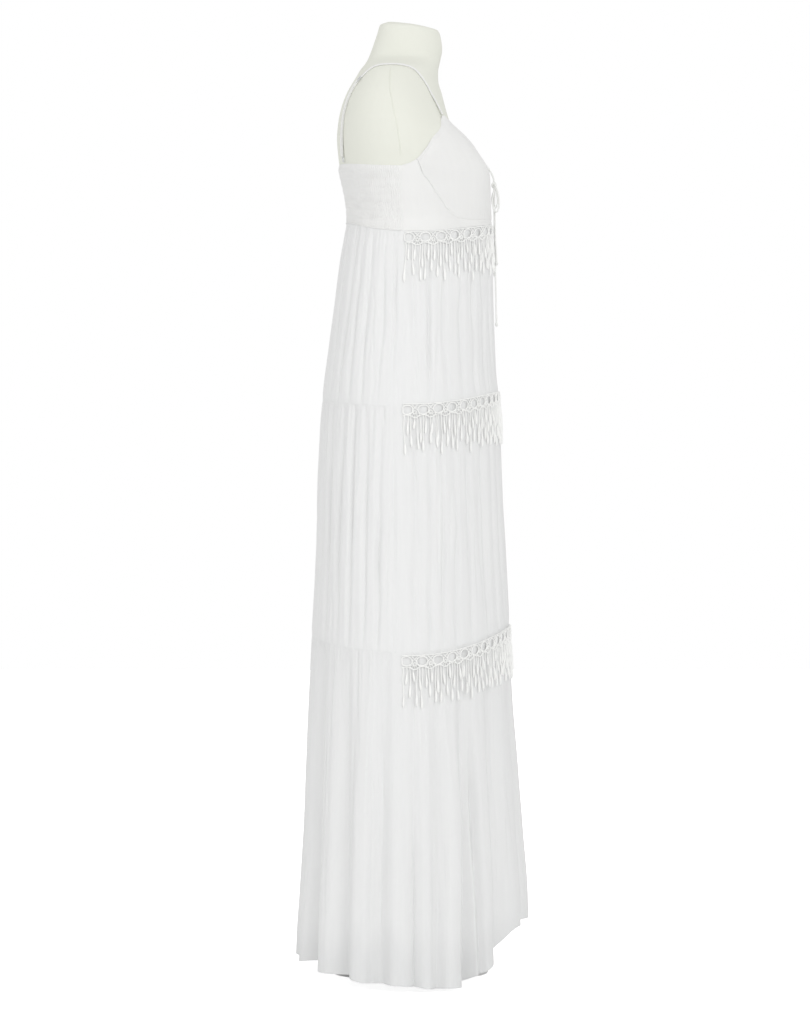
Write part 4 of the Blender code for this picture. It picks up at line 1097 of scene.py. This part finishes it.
# %% Drawing with yarn
TRIM_REPEAT, TRIM_GAP = 0.0254, 0.0001
YARN, STITCH = 0.00080, 0.0026
EYE_SIZE, LOBE_SIZE, PETAL = (0.0178, 0.0142), (0.0168, 0.0166), 0.0022
LOBE_RISE, BAND_FOOT = -0.0030, -0.0085  # a lobe's middle and the band's lower edge, from the band's middle
TASSEL_SPACING, TASSEL_HEAD = 0.0049, 0.0200
TASSEL_HANGS = (0.062, 0.030, 0.048, 0.026, 0.056, 0.040)
TIE_SPACE = 0.0045  # no tassel hangs this near the centre front, where the tie's tails lie


def band_places(seam, drop):
    """A function from places along a band and heights from its middle to points, and the band's length."""
    angles, run = run_along(seam, -SIDE_SEAM + 1, SIDE_SEAM - 1)

    def place(along, rise, lift=0.0):
        along, rise = np.broadcast_arrays(np.asarray(along, float), np.asarray(rise, float))
        angle = np.interp(along, run, angles)
        height = seam_height(seam, angle) - drop + rise
        return pressed_in(angle, height, -(TRIM_GAP + YARN + np.asarray(lift)))

    return place, run[-1]


def yarn_line(place, along, rise, lift=0.0, thick=1.0, beads=True):
    """A spline that follows a route on the band, with beads for its stitches."""
    run = distances(np.column_stack([along, rise]))
    count = max(4, round(run[-1] / STITCH * 2))
    even = np.linspace(0, run[-1], count + 1)
    lifts = np.interp(even, run, np.broadcast_to(lift, len(run)).astype(float))
    points = place(np.interp(even, run, along), np.interp(even, run, rise), lifts)
    shares = np.where(np.arange(count + 1) % 2 == 0, 1.0, 0.78 if beads else 1.0) * thick
    return points, shares


def ellipse(middle, width, height, start=0.0, end=360.0, steps=28):
    turn = np.radians(np.linspace(start, end, steps))
    return middle[0] + width / 2 * np.cos(turn), middle[1] + height / 2 * np.sin(turn)


# %% One trim
def band_yarn(seam, drop, seed):
    """The yarn of a band, all but its tassels, with what their places are worked out from."""
    place, length = band_places(seam, drop)
    repeats = round(length / TRIM_REPEAT)
    repeat = length / repeats
    chance = random.Random(seed)
    lines = []
    whole = np.linspace(0, length, repeats * 14)
    swing = 0.5 + 0.5 * np.cos(2 * np.pi * (whole / repeat - 0.25))  # 1 over the eyes, 0 over the lobes
    lines.append(yarn_line(place, whole, 0.0096 + 0.0004 * swing, 0.0, thick=1.1))
    lines.append(yarn_line(place, whole, -0.0076 - 0.0040 * (1 - swing) ** 1.5, 0.0002, thick=1.1))
    for i in range(repeats):
        eye = (i + 0.25) * repeat + chance.uniform(-0.0006, 0.0006)
        lobe = (i + 0.75) * repeat + chance.uniform(-0.0006, 0.0006)
        rise = 0.0010 + chance.uniform(-0.0004, 0.0004)
        lines.append(yarn_line(place, *ellipse((eye, rise), *EYE_SIZE), 0.0003, thick=1.35))
        for way in (-1, 1):
            across = np.linspace(lobe - way * 0.0044, lobe + way * 0.0044, 7)
            lines.append(yarn_line(place, across, np.linspace(0.0086, -0.0004, 7), 0.0002 + 0.0006 * (way > 0)))
        reach = np.linspace(0.0030, 0.0082, 4)
        for turn in np.radians((200, 235, 270, 305, 340)):
            along, rises = lobe + reach * math.cos(turn), LOBE_RISE + reach * math.sin(turn)
            lines.append(yarn_line(place, along, rises, 0.0002, thick=0.85))
        lines.append(yarn_line(place, *ellipse((lobe, LOBE_RISE), *LOBE_SIZE, 188, 352), 0.0004, thick=1.2))
        for turn in np.radians((90, 162, 234, 306, 378)):
            middle = (lobe + 0.0024 * math.cos(turn), LOBE_RISE + 0.0024 * math.sin(turn))
            petal = ellipse(middle, PETAL, PETAL, steps=7)
            lines.append(yarn_line(place, *petal, 0.0006, thick=0.9, beads=False))
    return place, repeats, length, lines


# A tassel's head: shares of its length, and of the yarn's radius
HEAD_SHAPE = ((0, 0.10, 0.25, 0.45, 0.65, 0.82, 0.94, 1.0), (0.8, 1.3, 1.9, 2.3, 2.4, 2.1, 1.4, 0.6))


def tassel(place, along, root, length, sway, chance):
    """A thread that ends in a full, drop-shaped head."""
    head = min(TASSEL_HEAD * chance.uniform(0.85, 1.1), 0.8 * length)
    thread = np.linspace(0, length - head, 7)[:-1]
    down = np.concatenate([thread, length - head + head * np.array(HEAD_SHAPE[0])])
    shares = np.concatenate([np.full(6, 0.85), np.array(HEAD_SHAPE[1]) * chance.uniform(0.88, 1.06)])
    places = along + sway * (down / length) ** 1.5 + 0.0006 * np.sin(110 * down + chance.uniform(0, 6))
    points = place(places, root - down, np.clip(shares - 0.8, 0, None) * YARN * 0.55)
    return points, shares


for name, seam, drop, seed in (
    ("fringe_trim_waist", WAIST, 0.0115, 21),
    ("fringe_trim_hip", HIP, 0.0065, 22),
    ("fringe_trim_knee", KNEE, 0.0150, 23),
):
    place, repeats, length, lines = band_yarn(seam, drop, seed)
    repeat = length / repeats
    chance = random.Random(seed + 50)
    count = int(length / TASSEL_SPACING)
    for i in range(count):
        along = (i + 0.5 + chance.uniform(-0.2, 0.2)) * length / count
        if seam is WAIST and abs(along - length / 2) < TIE_SPACE:
            continue
        from_lobe = abs((along / repeat) % 1 - 0.75)
        rounding = math.sqrt(max(0.0, 1 - (from_lobe / 0.34) ** 2))
        root = -0.0028 - 0.0084 * rounding if from_lobe < 0.28 else BAND_FOOT
        hang = TASSEL_HANGS[i % len(TASSEL_HANGS)] + root - BAND_FOOT + chance.uniform(-0.006, 0.004)
        lines.append(tassel(place, along, root, hang, chance.uniform(-0.0022, 0.0022), chance))
    add_curve(f"{name}_yarn", lines, YARN, crochet, 1, name)
    print(name, repeats, "repeats,", count, "tassels,", len(lines), "lines of yarn")

# %% [markdown]
# ## The cut of the panels
#
# The UV map of each panel is in the metres of the size it was cut to, before it was gathered or sewn.

# %% [markdown]
# ## The studio
#
# The photograph has a white background without a corner or a shadow to speak of, and light from all round
# that comes mostly from the camera's side, so that the edges of the dress are a little darker than its
# middle. A pale floor carries it. A large soft lamp beside the camera, a weaker one behind, another on the
# side that the camera doesn't see, and a pale surround do the lighting.

# %% Floor, lamps and surround
PAPER_GLOW = 0.85  # light that the floor gives off for the camera alone, which keeps it white
SURROUND_LIGHT = 0.76


def add_lamp(name, place, target, size, power):
    """A square soft lamp, its size in metres and its power in watts."""
    data = bpy.data.lights.new(name, "AREA")
    data.size = size
    data.energy = power
    piece = add_object(name, data)
    piece.location = place
    piece.rotation_euler = (Vector(target) - Vector(place)).to_track_quat("-Z", "Y").to_euler()


add_lamp("key_lamp", (-5.0, -2.2, 3.3), (0, 0, 0.9), 3.0, 85)
add_lamp("fill_lamp", (-3.0, 4.5, 1.6), (0, 0, 0.8), 2.5, 34)
add_lamp("far_side_lamp", (5.5, 0, 2.4), (0, 0, 0.8), 3.0, 32)

bm = bmesh.new()
bmesh.ops.create_grid(bm, x_segments=1, y_segments=1, size=12)
floor_mesh = bpy.data.meshes.new("studio_floor")
bm.to_mesh(floor_mesh)
bm.free()
add_object("studio_floor", floor_mesh)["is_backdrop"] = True
paper, tree, shader = new_material("studio_paper", (0.88, 0.88, 0.88), 0.9)
shader.inputs["Emission Color"].default_value = (1, 1, 1, 1)
rays = tree.nodes.new("ShaderNodeLightPath").outputs["Is Camera Ray"]
tree.links.new(maths(tree, "MULTIPLY", rays, PAPER_GLOW), shader.inputs["Emission Strength"])
floor_mesh.materials.append(paper)

world = bpy.data.worlds.new("studio_surround")
bpy.context.scene.world = world
world.use_nodes = True
tree = world.node_tree
lit, seen = tree.nodes["Background"], tree.nodes.new("ShaderNodeBackground")
for node, strength in ((lit, SURROUND_LIGHT), (seen, 1.0)):
    node.inputs["Color"].default_value = (1, 1, 1, 1)
    node.inputs["Strength"].default_value = strength
rays = tree.nodes.new("ShaderNodeLightPath").outputs["Is Camera Ray"]
choice = tree.nodes.new("ShaderNodeMixShader")
for i, socket in enumerate((rays, lit.outputs[0], seen.outputs[0])):
    tree.links.new(socket, choice.inputs[i])
tree.links.new(choice.outputs[0], tree.nodes["World Output"].inputs["Surface"])
bpy.context.scene.view_settings.view_transform = "Standard"

# %% [markdown]
# ## Sizes at the end
#
# The pieces of this scene take the place of the solids, so the boxes round both are printed side by side.

# %% Sizes and finish
dressed_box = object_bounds()
for label, box in (("plain", plain_box), ("dressed", dressed_box)):
    print(label, [[round(x, 4) for x in corner] for corner in box])
